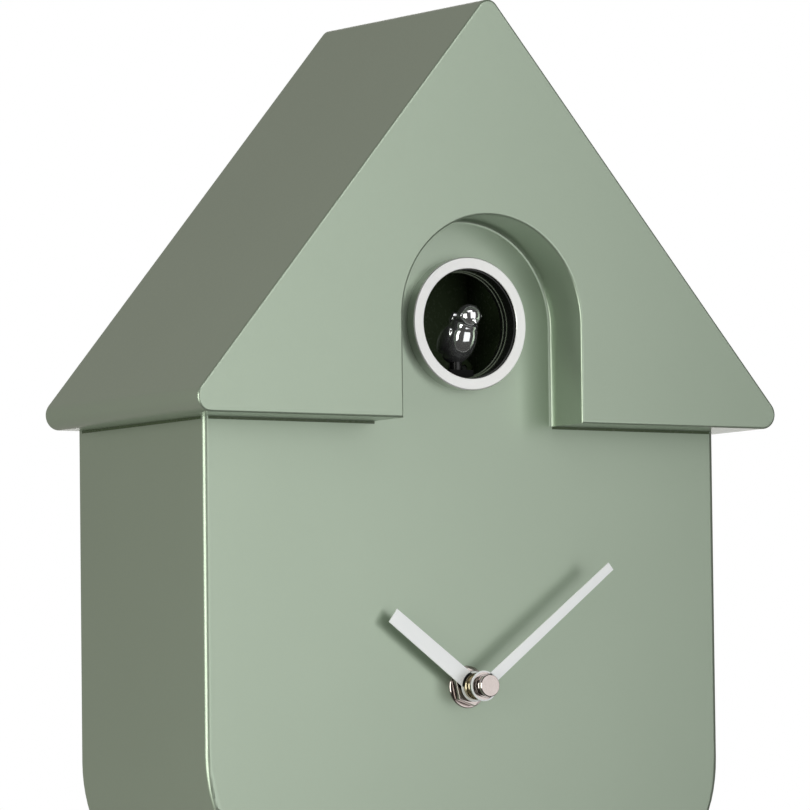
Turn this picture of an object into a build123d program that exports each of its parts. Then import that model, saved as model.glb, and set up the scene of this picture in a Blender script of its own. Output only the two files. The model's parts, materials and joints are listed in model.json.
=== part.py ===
"""A wall cuckoo clock shaped like a small house, in millimetres.

The clock stands in its own frame: +X to the right as seen from the front, +Y towards the wall
behind it, +Z up. The origin is at the middle of the case's footprint, at the height of its base.

A plain body with two large bottom corners carries a gabled roof that stands out over its front
and sides. An arched niche in the roof's front leaves the body's face bare round a window with a
bezel, where a small bird sits on a carriage. A rack, a gear and a motor push the bird out. Below
it a two-hand quartz movement hangs on the face by its threaded bush. The back cover holds the
keyhole, the speaker, the battery bay, the controls and a well that leads to the movement.
"""

import os
from math import cos, pi, radians, sin, tan

from build123d import *

os.makedirs("parts", exist_ok=True)

# ---------------------------------------------------------------- the case
case_width = 220.0  # over the rounded eaves
case_depth = 96.0  # from the wall to the roof's front
body_width = 195.0
body_height = 157.0  # from the base to the underside of the eaves
body_corner_radius = 50.0
roof_pitch = 50.0  # degrees above the horizontal
eave_radius = 4.8
ridge_radius = 4.0
roof_overhang = 17.8  # how far the roof's front stands ahead of the body's face
wall = 2.5
roof_edge_radius = 0.8
body_edge_radius = 1.8

niche_half_width = 34.0
niche_centre_height = 32.0  # of the arch and the window, above the eaves
niche_wall = 2.0
niche_cove_radius = 1.4
collar_height = 40.0  # of the body's front wall that stands up inside the roof
collar_gap = 4.5  # between the collar's top corners and the slopes

# ---------------------------------------------------------------- screws, bosses and clearances
screw_radius = 1.2
screw_head_radius = 2.6
screw_head_height = 1.6
screw_recess_length = 2.8
screw_recess_width = 0.6
screw_recess_depth = 0.9
screw_passage = 1.7
screw_bite = 9.0  # into a case boss
short_bite = 4.4  # into a small boss
pilot_radius = 1.25
pilot_depth = 12.0
post_radius = 4.0
boss_radius = 3.0
boss_length = 5.0
fit_clearance = 0.03  # a pressed or glued fit
running_clearance = 0.08  # a shaft in its hole
slide_clearance = 0.3
seat_clearance = 0.1

# ---------------------------------------------------------------- window, bird and nest
window_hole_radius = 19.4
bezel_radius = 21.0
bezel_bore_radius = 17.75
bezel_proud = 4.0
bezel_neck_radius = 19.3
bezel_neck_reach = 1.2  # past the inside of the face
bezel_edge = 0.35

nest_margin = 1.1  # between the window's hole and the nest's sides
nest_floor_gap = 1.0  # under the rack
nest_wall = 1.6
nest_ear_length = 10.0
nest_ear_height = 8.0

bird_travel = 18.0
bird_post_setback = 8.4  # post axis behind the bezel's front
bird_post_radius = 2.1
bird_pin_radius = 1.2
bird_pin_height = 3.0
bird_seat_drop = 9.7  # below the window's centre
bird_lean = 42.0  # degrees from upright, towards the front
bird_body_radius = 5.4
bird_body_length = 13.6
bird_chest_ahead = 2.6  # of the post, as the next three
bird_chest_drop = 4.4
bird_head_ahead = 9.7
bird_head_rise = 2.5
bird_head_radius = 3.55
beak_radius = 1.3
beak_tip_radius = 0.25
beak_length = 2.6
beak_angle = 50.0  # below the horizontal
tail_behind = 0.9  # tail root behind the post
tail_drop = 2.0
tail_angle = 2.0  # from upright, towards the back
tail_length = 5.2
tail_root_size = (3.8, 2.0)
tail_tip_size = (2.8, 1.0)

arm_half_width = 4.5
arm_drop = 14.5  # arm's top below the window's centre
arm_thickness = 2.3
arm_nose = 3.5
arm_tail = 1.0

# ---------------------------------------------------------------- bird drive
tooth_addendum = 0.85  # shares of the module
tooth_dedendum = 1.15
tooth_tip_share = 0.16  # shares of the circular pitch
tooth_root_share = 0.60
rack_module = 0.6
rack_teeth = 14
rack_lead = 1.5  # teeth ahead of the gear's axle at rest
rack_half_width = 3.0
rack_base = 0.6
bird_pinion_teeth = 16
bird_pinion_half_width = 3.5
bird_wheel_module = 0.5
bird_wheel_teeth = 36
bird_wheel_width = 2.5
bird_wheel_x = -9.5
bird_hub_radius = 2.4
motor_pinion_teeth = 10
motor_angle = -20.0  # degrees below the line towards the back
gear_axle_radius = 1.0
gear_axle_end = 0.5
bracket_wall = 1.5
bracket_half_gap = 11.0
bracket_nose = 4.5  # from the nest to the wheel's teeth
bracket_tail = 5.0  # behind the motor
bracket_foot_gap = 2.5  # under the wheel's teeth
bracket_flange = 9.0
bracket_flange_height = 7.0
bracket_screw_offset = 16.0
bracket_screw_drop = 12.0  # below the window's centre
keeper_length = 4.0
keeper_height = 2.0
drive_back_gap = 5.5  # between the bracket and the back cover
motor_radius = 7.75
motor_length = 21.0
motor_half_flats = 6.2
motor_boss_radius = 3.0
motor_end_cap = 1.0
motor_shaft_radius = 0.75
motor_shaft_depth = 6.0
motor_shaft_play = 0.5

# ---------------------------------------------------------------- dry cells
cell_radius = 7.0
cell_body_length = 49.5
cell_nub_radius = 2.75
cell_nub_length = 1.0
cell_play = 0.3
contact_room = 1.75  # at each end of a cell
contact_thickness = 0.4
contact_width = 10.0
contact_spring_radius = 2.5

# ---------------------------------------------------------------- quartz movement
hands_drop = 84.6  # arbor below the eaves
movement_depth = 15.5
movement_wall = 1.0
movement_corner = 2.0
movement_cover_thickness = 1.2
gasket_radius = 14.0
gasket_thickness = 1.0
bush_radius = 4.0
bush_hole_radius = 4.25
bush_proud = 3.6
washer_radius = 6.8
washer_thickness = 0.5
nut_flats = 11.0
nut_thickness = 2.4
nut_turn = 12.0  # degrees
nut_corner_cut = 0.45
hour_pipe_radius = 2.5
hour_pipe_proud = 6.8
arbor_radius = 1.6
arbor_proud = 12.9
arbor_neck_radius = 1.5
arbor_pivot_radius = 0.7
pivot_length = 0.6
pivot_hole_depth = 0.8

motion_module = 0.5
hour_module = 0.4
train_module = 0.3
cannon_teeth = 12
motion_wheel_teeth = 36
motion_pinion_teeth = 12
hour_wheel_teeth = 48
train_pinion_teeth = 8
centre_wheel_teeth = 64
third_wheel_teeth = 60
motion_angle = 60.0  # from the arbor to the setting arbor
third_angle = 150.0  # from the arbor to the third wheel
rotor_angle = 105.0  # from the third wheel to the rotor
wheel_thickness = 1.2
train_wheel_thickness = 1.0
first_layer_gap = 0.3
layer_gap = 0.6
plate_thickness = 1.0
plate_post_radius = 2.0
plate_post_inset = 5.0
plate_post_rise = 3.7  # above the cell's bay
setting_shaft_radius = 1.2
setting_shaft_reach = 3.0  # behind the movement
knob_radius = 5.0
knob_height = 3.5
knob_ribs = 24
knob_rib_radius = 0.28
third_shaft_radius = 0.6
rotor_shaft_radius = 0.5
rotor_magnet_radius = 2.5
rotor_magnet_length = 2.8
stator_thickness = 1.2
stator_hole_radius = 2.9
stator_ring_radius = 5.0
stator_arm = 4.0
stator_post_radius = 1.5
stator_right_inset = 11.0  # of its right leg from the movement's inside
core_height = 3.0
core_inset = 4.0  # below the movement's inside
coil_radius = 3.1
coil_length = 20.0
quartz_board_size = (14.0, 20.0)
quartz_board_inset = 8.5
quartz_board_thickness = 0.8
quartz_chip_radius = 2.2
crystal_size = (2.0, 6.0)
quartz_part_height = 1.2

# ---------------------------------------------------------------- hands
minutes_shown = 8.6  # past ten o'clock
hand_thickness = 0.5
hand_hub_radius = 4.9
collet_radius = 4.3
hour_hand_proud = 4.2
hour_hand_length = 38.0
hour_hand_root_width = 5.7
hour_hand_tip_width = 5.2
hour_collet_length = 1.9
minute_hand_proud = 9.8
minute_hand_length = 63.0
minute_hand_root_width = 3.7
minute_hand_tip_width = 2.9
minute_collet_length = 2.4
minute_flange_thickness = 0.6
cap_radius = 3.85
cap_height = 2.4
cap_edge = 0.3
cap_neck_radius = 2.2
cap_neck_height = 0.5

# ---------------------------------------------------------------- back cover
cover_recess = 2.0
cover_thickness = 2.5
cover_gap = 0.3
well_clearance = 2.0
well_wall = 1.6
low_post_shift = 10.5  # outwards from the start of the bottom corners
low_post_rise = 12.0
high_post_inset = 10.5
high_post_drop = 12.0  # below the eaves
ridge_post_drop = 20.5  # below the ridge's sharp line
keyhole_drop = 56.5  # below the same line
keyhole_radius = 4.75
keyhole_slot_radius = 2.5
keyhole_slot_rise = 9.0

bay_half_width = 16.0
bay_depth = 15.5
bay_wall = 1.5
bay_gap = 3.5  # above the board
bay_cell_offset = 7.6
door_lap = 1.5
door_thickness = 1.6
grip_ribs = 4
grip_rib_pitch = 2.4
grip_rib_size = (12.0, 1.0)
grip_rib_height = 0.8
grip_drop = 7.0  # below the bay's top

# ---------------------------------------------------------------- speaker
speaker_radius = 25.0
speaker_flange = 1.5
speaker_rim_width = 3.0
speaker_depth = 11.0
speaker_plate = 1.0
speaker_magnet_radius = 11.0
speaker_magnet_height = 5.0
cone_thickness = 0.5
cone_rim_thickness = 0.8
cone_radius = 21.0
cone_setback = 0.4
cone_depth = 8.2
voice_coil_radius = 6.6
grille_hole_radius = 1.5
grille_ring_pitch = 5.0
grille_rings = 4
clamp_angles = (60, 120, 240, 300)
clamp_post_radius = 28.5  # from the speaker's axis
clamp_size = (8.0, 5.0)
clamp_lap = 1.5
clamp_thickness = 0.8
rivet_radius = 2.0
rivet_height = 1.0

# ---------------------------------------------------------------- board and controls
board_rise = 41.0  # of its middle, above the base
board_size = (38.0, 28.0)
board_thickness = 1.6
board_stand_off = 7.0
board_hole_inset = 3.5
board_part_height = 3.0
board_chip_size = (9.0, 7.0)
board_chip_place = (-4.0, 2.0)  # from the board's middle, as the next four
capacitor_places = ((6.0, -3.0), (-10.0, -4.0))
dial_place = (-10.0, 0.0)
switch_place = (3.0, -6.0)
button_place = (11.0, 2.0)
capacitor_radius = 2.5
control_clearance = 0.4
stem_clearance = 0.2
control_body_height = 3.0
dial_radius = 5.0
dial_ribs = 16
dial_rib_radius = 0.35
dial_proud = 1.4
dial_mark_width = 0.8
dial_mark_depth = 0.5
dial_pin_radius = 1.0
dial_pin_length = 1.8
dial_base_radius = 4.5
dial_base_height = 2.0
switch_travel = 4.0
switch_body_margin = 3.0
switch_body_height = 5.0
lever_size = 3.0
lever_proud = 1.2
lever_stem = 1.5
lever_stem_length = 2.5
button_radius = 3.0
button_travel = 1.2
button_proud = 1.5
button_stem_radius = 1.2
button_body_size = 6.0

# ---------------------------------------------------------------- places worked out from these
roof_front_y = -case_depth / 2
back_y = case_depth / 2
face_y = roof_front_y + roof_overhang
face_inner_y = face_y + wall
cover_out_y = back_y - cover_recess
cover_in_y = cover_out_y - cover_thickness
eave_z = body_height
window_z = eave_z + niche_centre_height
hands_z = eave_z - hands_drop

pitch_angle = radians(roof_pitch)
eave_reach = case_width / 2 - eave_radius + eave_radius / tan(pitch_angle / 2)
ridge_rise = eave_reach * tan(pitch_angle)
collar_half_width = eave_reach - collar_height / tan(pitch_angle) - wall / sin(pitch_angle) - collar_gap

cell_length = cell_body_length + cell_nub_length
half_room = cell_length / 2 + contact_room  # of the movement's inside
movement_size = 2 * (half_room + movement_wall)
well_half_size = movement_size / 2 + well_clearance
side_room_x = (well_half_size + well_wall + body_width / 2 - wall) / 2
bay_half_height = cell_length / 2 + contact_room
board_centre = (side_room_x, board_rise)
bay_centre = (side_room_x, board_rise + board_size[1] / 2 + bay_gap + bay_wall + bay_half_height)
speaker_centre = (-side_room_x, hands_z)

CENTRED_LOW = (Align.CENTER, Align.MIN)


def at_y(y):
    """A drawing plane seen from the front, at depth y. Extruding from it goes to the front."""
    return Plane.XZ.offset(-y)


def at_x(x):
    """A drawing plane across the clock at x, with Y and Z as its axes."""
    return Plane.YZ.offset(x)


def write(piece, label):
    """Labels a finished piece and writes it as its own STEP file."""
    piece.part.label = label
    export_step(piece.part, f"parts/{label}.step")


def away(centre, distance, angle):
    """The point at a distance and an angle in degrees from another."""
    return (centre[0] + distance * cos(radians(angle)), centre[1] + distance * sin(radians(angle)))


def beside(centre, offset):
    """The point at an offset from another."""
    return (centre[0] + offset[0], centre[1] + offset[1])


def four(half_width, half_height, centre):
    """The four corners of a rectangle about a centre."""
    return [beside(centre, (x, z)) for x in (-half_width, half_width) for z in (-half_height, half_height)]


def body_outline(inset, top):
    """Draws the body's front outline, pulled in by inset and cut off flat at the height top."""
    half = body_width / 2 - inset
    with BuildLine() as outline:
        FilletPolyline(
            (-half, top), (-half, inset), (half, inset), (half, top), radius=body_corner_radius - inset
        )
        Line((half, top), (-half, top))
    make_face(outline.edges())


def roof_outline(inset):
    """Draws the gable with its rounded corners, pulled in by inset."""
    low = eave_z + inset
    reach = eave_reach - inset / tan(pitch_angle / 2)
    top = eave_z + ridge_rise - inset / cos(pitch_angle)
    eave, ridge = eave_radius - inset, ridge_radius - inset
    with BuildLine() as outline:
        FilletPolyline((reach, low), (0, top), (-reach, low), radius=(eave, ridge, eave), close=True)
    make_face(outline.edges())


def arch_outline(half_width, foot):
    """Draws the niche's arch, from the height foot up to its round top."""
    with BuildLine() as outline:
        Polyline((-half_width, window_z), (-half_width, foot), (half_width, foot), (half_width, window_z))
        CenterArc((0, window_z), half_width, 0, 180)
    make_face(outline.edges())


def tooth_points(module, teeth, phase):
    """The outline of a gear with slim straight-sided teeth, one of them at the angle phase in degrees."""
    pitch_radius = module * teeth / 2
    root, tip = pitch_radius - tooth_dedendum * module, pitch_radius + tooth_addendum * module
    points = []
    for tooth in range(teeth):
        centre = radians(phase) + 2 * pi * tooth / teeth
        for radius, share in (
            (root, -tooth_root_share),
            (tip, -tooth_tip_share),
            (tip, tooth_tip_share),
            (root, tooth_root_share),
        ):
            angle = centre + share * pi * module / 2 / radius
            points.append((radius * cos(angle), radius * sin(angle)))
    return points


def tip_radius(module, teeth):
    """The radius over a gear's teeth."""
    return module * (teeth / 2 + tooth_addendum)


def meshing_phase(phase, direction, teeth, mate_teeth):
    """The phase that a mating gear needs, when it lies in the given direction from the first gear."""
    return direction + 180 - (phase - direction) * teeth / mate_teeth - 180 / mate_teeth


def screws(places, seat_y, length):
    """Pan-head screws driven from the back towards the front, with their heads on seat_y."""
    with BuildPart() as group:
        with BuildSketch(at_y(seat_y)):
            with Locations(*places):
                Circle(screw_radius)
        extrude(amount=length)
        with BuildSketch(at_y(seat_y + screw_head_height)):
            with Locations(*places):
                Circle(screw_head_radius)
        extrude(amount=screw_head_height)
        with BuildSketch(at_y(seat_y + screw_head_height)):
            with Locations(*places):
                Rectangle(screw_recess_length, screw_recess_width)
                Rectangle(screw_recess_width, screw_recess_length)
        extrude(amount=screw_recess_depth, mode=Mode.SUBTRACT)
    return group


def dry_cell(plane):
    """A dry cell that stands on a plane, with its nub on top."""
    with BuildPart() as piece:
        with BuildSketch(plane):
            Circle(cell_radius)
        extrude(amount=cell_body_length)
        with BuildSketch(plane.offset(cell_body_length)):
            Circle(cell_nub_radius)
        extrude(amount=cell_nub_length)
    return piece


# ================================================================ the case
# Two solids that both shells are cut with: the body's outer block and the niche.
with BuildPart() as body_block:
    with BuildSketch(at_y(back_y)):
        body_outline(0, eave_z + wall)
    extrude(amount=back_y - face_y)
    front_edges = body_block.faces().sort_by(Axis.Y)[0].edges()
    fillet(front_edges.sort_by(Axis.Z)[:-1], body_edge_radius)

with BuildPart() as niche:
    with BuildSketch(at_y(face_y)):
        arch_outline(niche_half_width, eave_z - wall)
    extrude(amount=roof_overhang + wall)
    rear_edges = niche.faces().sort_by(Axis.Y)[-1].edges()
    fillet(rear_edges.sort_by(Axis.Z)[1:], niche_cove_radius)

low_roof_screw_x = collar_half_width - post_radius * 3
low_roof_screw_z = eave_z + wall + 2 * post_radius
high_roof_screw_x = niche_half_width + niche_wall + post_radius * 3
high_roof_screw_z = eave_z + collar_height - 2 * post_radius
roof_screw_places = [
    (-low_roof_screw_x, low_roof_screw_z),
    (low_roof_screw_x, low_roof_screw_z),
    (-high_roof_screw_x, high_roof_screw_z),
    (high_roof_screw_x, high_roof_screw_z),
]
low_post_x = body_width / 2 - body_corner_radius + low_post_shift
high_post_x = body_width / 2 - high_post_inset
body_post_places = [
    (-low_post_x, low_post_rise),
    (low_post_x, low_post_rise),
    (-high_post_x, eave_z - high_post_drop),
    (high_post_x, eave_z - high_post_drop),
]
ridge_post_place = (0, eave_z + ridge_rise - ridge_post_drop)
cover_screw_places = body_post_places + [ridge_post_place]
nest_half_width = window_hole_radius + nest_margin
nest_screw_x = nest_half_width + nest_wall + nest_ear_length / 2
nest_screw_places = [(-nest_screw_x, window_z), (nest_screw_x, window_z)]

# The body shell: face, sides and base in one moulding, open at the back and up into the roof.
# Its face goes on upwards as a collar inside the roof, with the niche's own wall on it.
with BuildPart() as body_shell:
    add(body_block.part)
    with BuildSketch(at_y(back_y)):
        body_outline(wall, eave_z + 2 * wall)
    extrude(amount=back_y - face_inner_y, mode=Mode.SUBTRACT)
    with BuildSketch(at_y(face_inner_y)):
        with Locations((0, eave_z + wall)):
            Rectangle(2 * collar_half_width, collar_height - wall, align=CENTRED_LOW)
        arch_outline(niche_half_width + niche_wall, eave_z + wall)
    extrude(amount=wall)
    with BuildSketch(at_y(face_y)):
        arch_outline(niche_half_width + niche_wall, eave_z)
    extrude(amount=roof_overhang - wall)
    add(niche.part, mode=Mode.SUBTRACT)
    # posts for the back cover's screws and bosses for the nest's
    with BuildSketch(at_y(cover_in_y)):
        with Locations(*body_post_places):
            Circle(post_radius)
    extrude(amount=cover_in_y - face_inner_y)
    with BuildSketch(at_y(cover_in_y)):
        with Locations(*body_post_places):
            Circle(pilot_radius)
    extrude(amount=pilot_depth, mode=Mode.SUBTRACT)
    with BuildSketch(at_y(face_inner_y + boss_length)):
        with Locations(*nest_screw_places):
            Circle(boss_radius)
    extrude(amount=boss_length)
    with BuildSketch(at_y(face_inner_y + boss_length)):
        with Locations(*nest_screw_places):
            Circle(pilot_radius)
    extrude(amount=boss_length, mode=Mode.SUBTRACT)
    # holes through the face: the roof's screws, the window and the movement's bush
    with BuildSketch(at_y(face_inner_y)):
        with Locations(*roof_screw_places):
            Circle(screw_passage)
        with Locations((0, window_z)):
            Circle(window_hole_radius)
        with Locations((0, hands_z)):
            Circle(bush_hole_radius)
    extrude(amount=wall, mode=Mode.SUBTRACT)
write(body_shell, "body_shell")

# The roof shell: gable front, two slopes and the undersides of the eaves, open at the back.
with BuildPart() as roof_shell:
    with BuildSketch(at_y(back_y)):
        roof_outline(0)
    extrude(amount=case_depth)
    add(niche.part, mode=Mode.SUBTRACT)
    fillet(roof_shell.faces().sort_by(Axis.Y)[0].edges(), roof_edge_radius)
    with BuildSketch(at_y(back_y)):
        roof_outline(wall)
    extrude(amount=case_depth - wall, mode=Mode.SUBTRACT)
    with BuildSketch(at_y(face_y)):
        arch_outline(niche_half_width + niche_wall, eave_z - wall)
    extrude(amount=roof_overhang - wall, mode=Mode.SUBTRACT)
    add(body_block.part, mode=Mode.SUBTRACT)
    with BuildSketch(at_y(face_y)):
        with Locations(*roof_screw_places):
            Circle(boss_radius)
    extrude(amount=roof_overhang - wall)
    with BuildSketch(at_y(cover_in_y)):
        with Locations(ridge_post_place):
            Circle(post_radius)
    extrude(amount=cover_in_y - roof_front_y - wall)
    with BuildSketch(at_y(face_y)):
        with Locations(*roof_screw_places):
            Circle(pilot_radius)
    extrude(amount=roof_overhang - 2 * wall, mode=Mode.SUBTRACT)
    with BuildSketch(at_y(cover_in_y)):
        with Locations(ridge_post_place):
            Circle(pilot_radius)
    extrude(amount=pilot_depth, mode=Mode.SUBTRACT)
write(roof_shell, "roof_shell")

roof_screws = screws(roof_screw_places, face_inner_y, wall + screw_bite)
write(roof_screws, "roof_screws")

cover_screws = screws(cover_screw_places, cover_out_y, cover_thickness + screw_bite)
write(cover_screws, "cover_screws")

# The back cover: a plate that closes body and roof, with the well that leads to the movement,
# the battery bay, the speaker's grille, holes for the controls and the keyhole it hangs by.
dial_centre = beside(board_centre, dial_place)
switch_centre = beside(board_centre, switch_place)
button_centre = beside(board_centre, button_place)
board_screw_places = four(
    board_size[0] / 2 - board_hole_inset, board_size[1] / 2 - board_hole_inset, board_centre
)
board_back_y = cover_in_y - board_stand_off
clamp_post_places = [away(speaker_centre, clamp_post_radius, angle) for angle in clamp_angles]
movement_front_y = face_inner_y + gasket_thickness
movement_back_y = movement_front_y + movement_depth
well_front_y = movement_back_y + cover_gap
keyhole_z = eave_z + ridge_rise - keyhole_drop

with BuildPart() as back_cover:
    with BuildSketch(at_y(cover_out_y)):
        body_outline(wall + cover_gap, eave_z + 2 * wall)
        roof_outline(wall + cover_gap)
    extrude(amount=cover_thickness)
    # the well
    with BuildSketch(at_y(cover_out_y)):
        with Locations((0, hands_z)):
            Rectangle(2 * (well_half_size + well_wall), 2 * (well_half_size + well_wall))
    extrude(amount=cover_out_y - well_front_y)
    with BuildSketch(at_y(cover_out_y)):
        with Locations((0, hands_z)):
            Rectangle(2 * well_half_size, 2 * well_half_size)
    extrude(amount=cover_out_y - well_front_y, mode=Mode.SUBTRACT)
    # the battery bay, with a step for its door
    with BuildSketch(at_y(cover_out_y)):
        with Locations(bay_centre):
            Rectangle(2 * (bay_half_width + bay_wall), 2 * (bay_half_height + bay_wall))
    extrude(amount=bay_depth + door_thickness + bay_wall)
    with BuildSketch(at_y(cover_out_y)):
        with Locations(bay_centre):
            Rectangle(2 * bay_half_width, 2 * bay_half_height)
    extrude(amount=bay_depth + door_thickness, mode=Mode.SUBTRACT)
    with BuildSketch(at_y(cover_out_y)):
        with Locations(bay_centre):
            Rectangle(2 * (bay_half_width + door_lap), 2 * (bay_half_height + door_lap))
    extrude(amount=door_thickness, mode=Mode.SUBTRACT)
    # bosses for the board and the speaker's clamps
    with BuildSketch(at_y(cover_in_y)):
        with Locations(*board_screw_places):
            Circle(boss_radius)
            Circle(pilot_radius, mode=Mode.SUBTRACT)
    extrude(amount=board_stand_off)
    with BuildSketch(at_y(cover_in_y)):
        with Locations(*clamp_post_places):
            Circle(boss_radius)
    extrude(amount=speaker_flange)
    # the speaker's grille: rings of round holes
    with BuildSketch(at_y(cover_out_y)):
        with Locations(speaker_centre):
            Circle(grille_hole_radius)
            for ring in range(1, grille_rings + 1):
                with PolarLocations(ring * grille_ring_pitch, 6 * ring):
                    Circle(grille_hole_radius)
    extrude(amount=cover_thickness, mode=Mode.SUBTRACT)
    # holes for the screws, the controls and the hanging screw
    with BuildSketch(at_y(cover_out_y)):
        with Locations(*cover_screw_places):
            Circle(screw_passage)
        with Locations(dial_centre):
            Circle(dial_radius + control_clearance)
        with Locations(button_centre):
            Circle(button_radius + control_clearance)
        with Locations(switch_centre):
            Rectangle(switch_travel + lever_size + 2 * control_clearance, lever_size + 2 * control_clearance)
        with Locations((0, keyhole_z)):
            Circle(keyhole_radius)
            Rectangle(2 * keyhole_slot_radius, keyhole_slot_rise, align=CENTRED_LOW)
        with Locations((0, keyhole_z + keyhole_slot_rise)):
            Circle(keyhole_slot_radius)
    extrude(amount=cover_thickness, mode=Mode.SUBTRACT)
write(back_cover, "back_cover")

# ================================================================ window and bird
with BuildPart() as window_bezel:
    with BuildSketch(at_y(face_y)):
        with Locations((0, window_z)):
            Circle(bezel_radius)
    extrude(amount=bezel_proud)
    with BuildSketch(at_y(face_inner_y + bezel_neck_reach)):
        with Locations((0, window_z)):
            Circle(bezel_neck_radius)
    extrude(amount=wall + bezel_neck_reach)
    with BuildSketch(at_y(face_inner_y + bezel_neck_reach)):
        with Locations((0, window_z)):
            Circle(bezel_bore_radius)
    extrude(amount=wall + bezel_neck_reach + bezel_proud, mode=Mode.SUBTRACT)
    chamfer(window_bezel.faces().sort_by(Axis.Y)[0].edges(), bezel_edge)
write(window_bezel, "window_bezel")

# Heights of the bird's arm, its rack and the gear under it, and their depths behind the nest.
arm_top_z = window_z - arm_drop
arm_low_z = arm_top_z - arm_thickness
rack_root_z = arm_low_z - rack_base
rack_line_z = rack_root_z - tooth_dedendum * rack_module
rack_tip_z = rack_line_z - tooth_addendum * rack_module
rack_pitch = pi * rack_module
gear_z = rack_line_z - rack_module * bird_pinion_teeth / 2
bird_wheel_tip = tip_radius(bird_wheel_module, bird_wheel_teeth)
motor_distance = bird_wheel_module * (bird_wheel_teeth + motor_pinion_teeth) / 2
gear_setback = bracket_nose + bird_wheel_tip
bracket_length = gear_setback + motor_distance * cos(radians(motor_angle)) + motor_radius + bracket_tail

nest_front_y = face_inner_y
bracket_y = cover_in_y - drive_back_gap - bracket_length
nest_back_y = bracket_y - nest_wall
nest_floor_z = rack_tip_z - nest_floor_gap
nest_height = window_z + nest_half_width - nest_floor_z
ear_y = face_inner_y + boss_length
bracket_screw_z = window_z - bracket_screw_drop
bracket_screw_places = [(-bracket_screw_offset, bracket_screw_z), (bracket_screw_offset, bracket_screw_z)]
gear_y = bracket_y + gear_setback
motor_y, motor_z = away((gear_y, gear_z), motor_distance, motor_angle)

# The nest: a dark box behind the window, screwed to the face by two ears.
with BuildPart() as nest_box:
    with BuildSketch(at_y(bracket_y)):
        with Locations((0, nest_floor_z - nest_wall)):
            Rectangle(2 * (nest_half_width + nest_wall), nest_height + 2 * nest_wall, align=CENTRED_LOW)
    extrude(amount=bracket_y - nest_front_y)
    with BuildSketch(at_y(nest_back_y)):
        with Locations((0, nest_floor_z)):
            Rectangle(2 * nest_half_width, nest_height, align=CENTRED_LOW)
    extrude(amount=nest_back_y - nest_front_y, mode=Mode.SUBTRACT)
    with BuildSketch(at_y(ear_y + nest_wall)):
        for side in (-1, 1):
            with Locations((side * nest_screw_x, window_z)):
                Rectangle(nest_ear_length, nest_ear_height)
        with Locations(*nest_screw_places):
            Circle(screw_passage, mode=Mode.SUBTRACT)
    extrude(amount=nest_wall)
    with BuildSketch(at_y(nest_back_y)):
        with Locations(*bracket_screw_places):
            Circle(boss_radius)
    extrude(amount=boss_length)
    with BuildSketch(at_y(bracket_y)):
        with Locations(*bracket_screw_places):
            Circle(pilot_radius)
        with Locations((0, nest_floor_z)):
            Rectangle(
                2 * (arm_half_width + slide_clearance),
                arm_top_z + slide_clearance - nest_floor_z,
                align=CENTRED_LOW,
            )
    extrude(amount=nest_wall + boss_length, mode=Mode.SUBTRACT)
write(nest_box, "nest_box")

nest_screws = screws(nest_screw_places, ear_y + nest_wall, nest_wall + short_bite)
write(nest_screws, "nest_screws")

# The bird's carriage: an arm with a rack under its tail and a post for the bird on its nose.
post_y = face_y - bezel_proud + bird_post_setback
arm_front_y = post_y - arm_nose
rack_start_y = gear_y - rack_lead * rack_pitch
rack_end_y = rack_start_y + (rack_teeth - 1) * rack_pitch
arm_back_y = rack_end_y + rack_pitch / 2 + arm_tail
bird_seat_z = window_z - bird_seat_drop

rack_outline = [(rack_start_y - rack_pitch / 2, arm_low_z), (rack_start_y - rack_pitch / 2, rack_root_z)]
for tooth in range(rack_teeth):
    tooth_y = rack_start_y + tooth * rack_pitch
    rack_outline += [
        (tooth_y - tooth_root_share * rack_pitch / 2, rack_root_z),
        (tooth_y - tooth_tip_share * rack_pitch / 2, rack_tip_z),
        (tooth_y + tooth_tip_share * rack_pitch / 2, rack_tip_z),
        (tooth_y + tooth_root_share * rack_pitch / 2, rack_root_z),
    ]
rack_outline += [(rack_end_y + rack_pitch / 2, rack_root_z), (rack_end_y + rack_pitch / 2, arm_low_z)]

with BuildPart() as bird_carriage:
    with BuildSketch(at_x(0)):
        with Locations(((arm_front_y + arm_back_y) / 2, arm_low_z)):
            Rectangle(arm_back_y - arm_front_y, arm_thickness, align=CENTRED_LOW)
    extrude(amount=arm_half_width, both=True)
    with BuildSketch(at_x(0)):
        Polygon(*rack_outline, align=None)
    extrude(amount=rack_half_width, both=True)
    with BuildSketch(Plane.XY.offset(arm_top_z)):
        with Locations((0, post_y)):
            Circle(bird_post_radius)
    extrude(amount=bird_seat_z - arm_top_z)
    with BuildSketch(Plane.XY.offset(bird_seat_z)):
        with Locations((0, post_y)):
            Circle(bird_pin_radius)
    extrude(amount=bird_pin_height)
write(bird_carriage, "bird_carriage")

# The bird: an egg-shaped body that leans forward, a round head, a beak and a raised tail.
chest = Vector(0, post_y - bird_chest_ahead, window_z - bird_chest_drop)
head = Vector(0, post_y - bird_head_ahead, window_z + bird_head_rise)
body_axis = Vector(0, -sin(radians(bird_lean)), cos(radians(bird_lean)))
body_end = chest - body_axis * (bird_body_length / 2)
egg_plane = Plane(origin=body_end, x_dir=(1, 0, 0), z_dir=Vector(1, 0, 0).cross(body_axis))
beak_way = Vector(0, -cos(radians(beak_angle)), -sin(radians(beak_angle)))
beak_root = head + beak_way * (bird_head_radius - beak_radius / 2)
beak_plane = Plane(origin=beak_root, x_dir=(1, 0, 0), z_dir=beak_way)
tail_way = Vector(0, sin(radians(tail_angle)), cos(radians(tail_angle)))
tail_root = Vector(0, post_y + tail_behind, window_z - tail_drop)
tail_plane = Plane(origin=tail_root, x_dir=(1, 0, 0), z_dir=tail_way)

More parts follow.
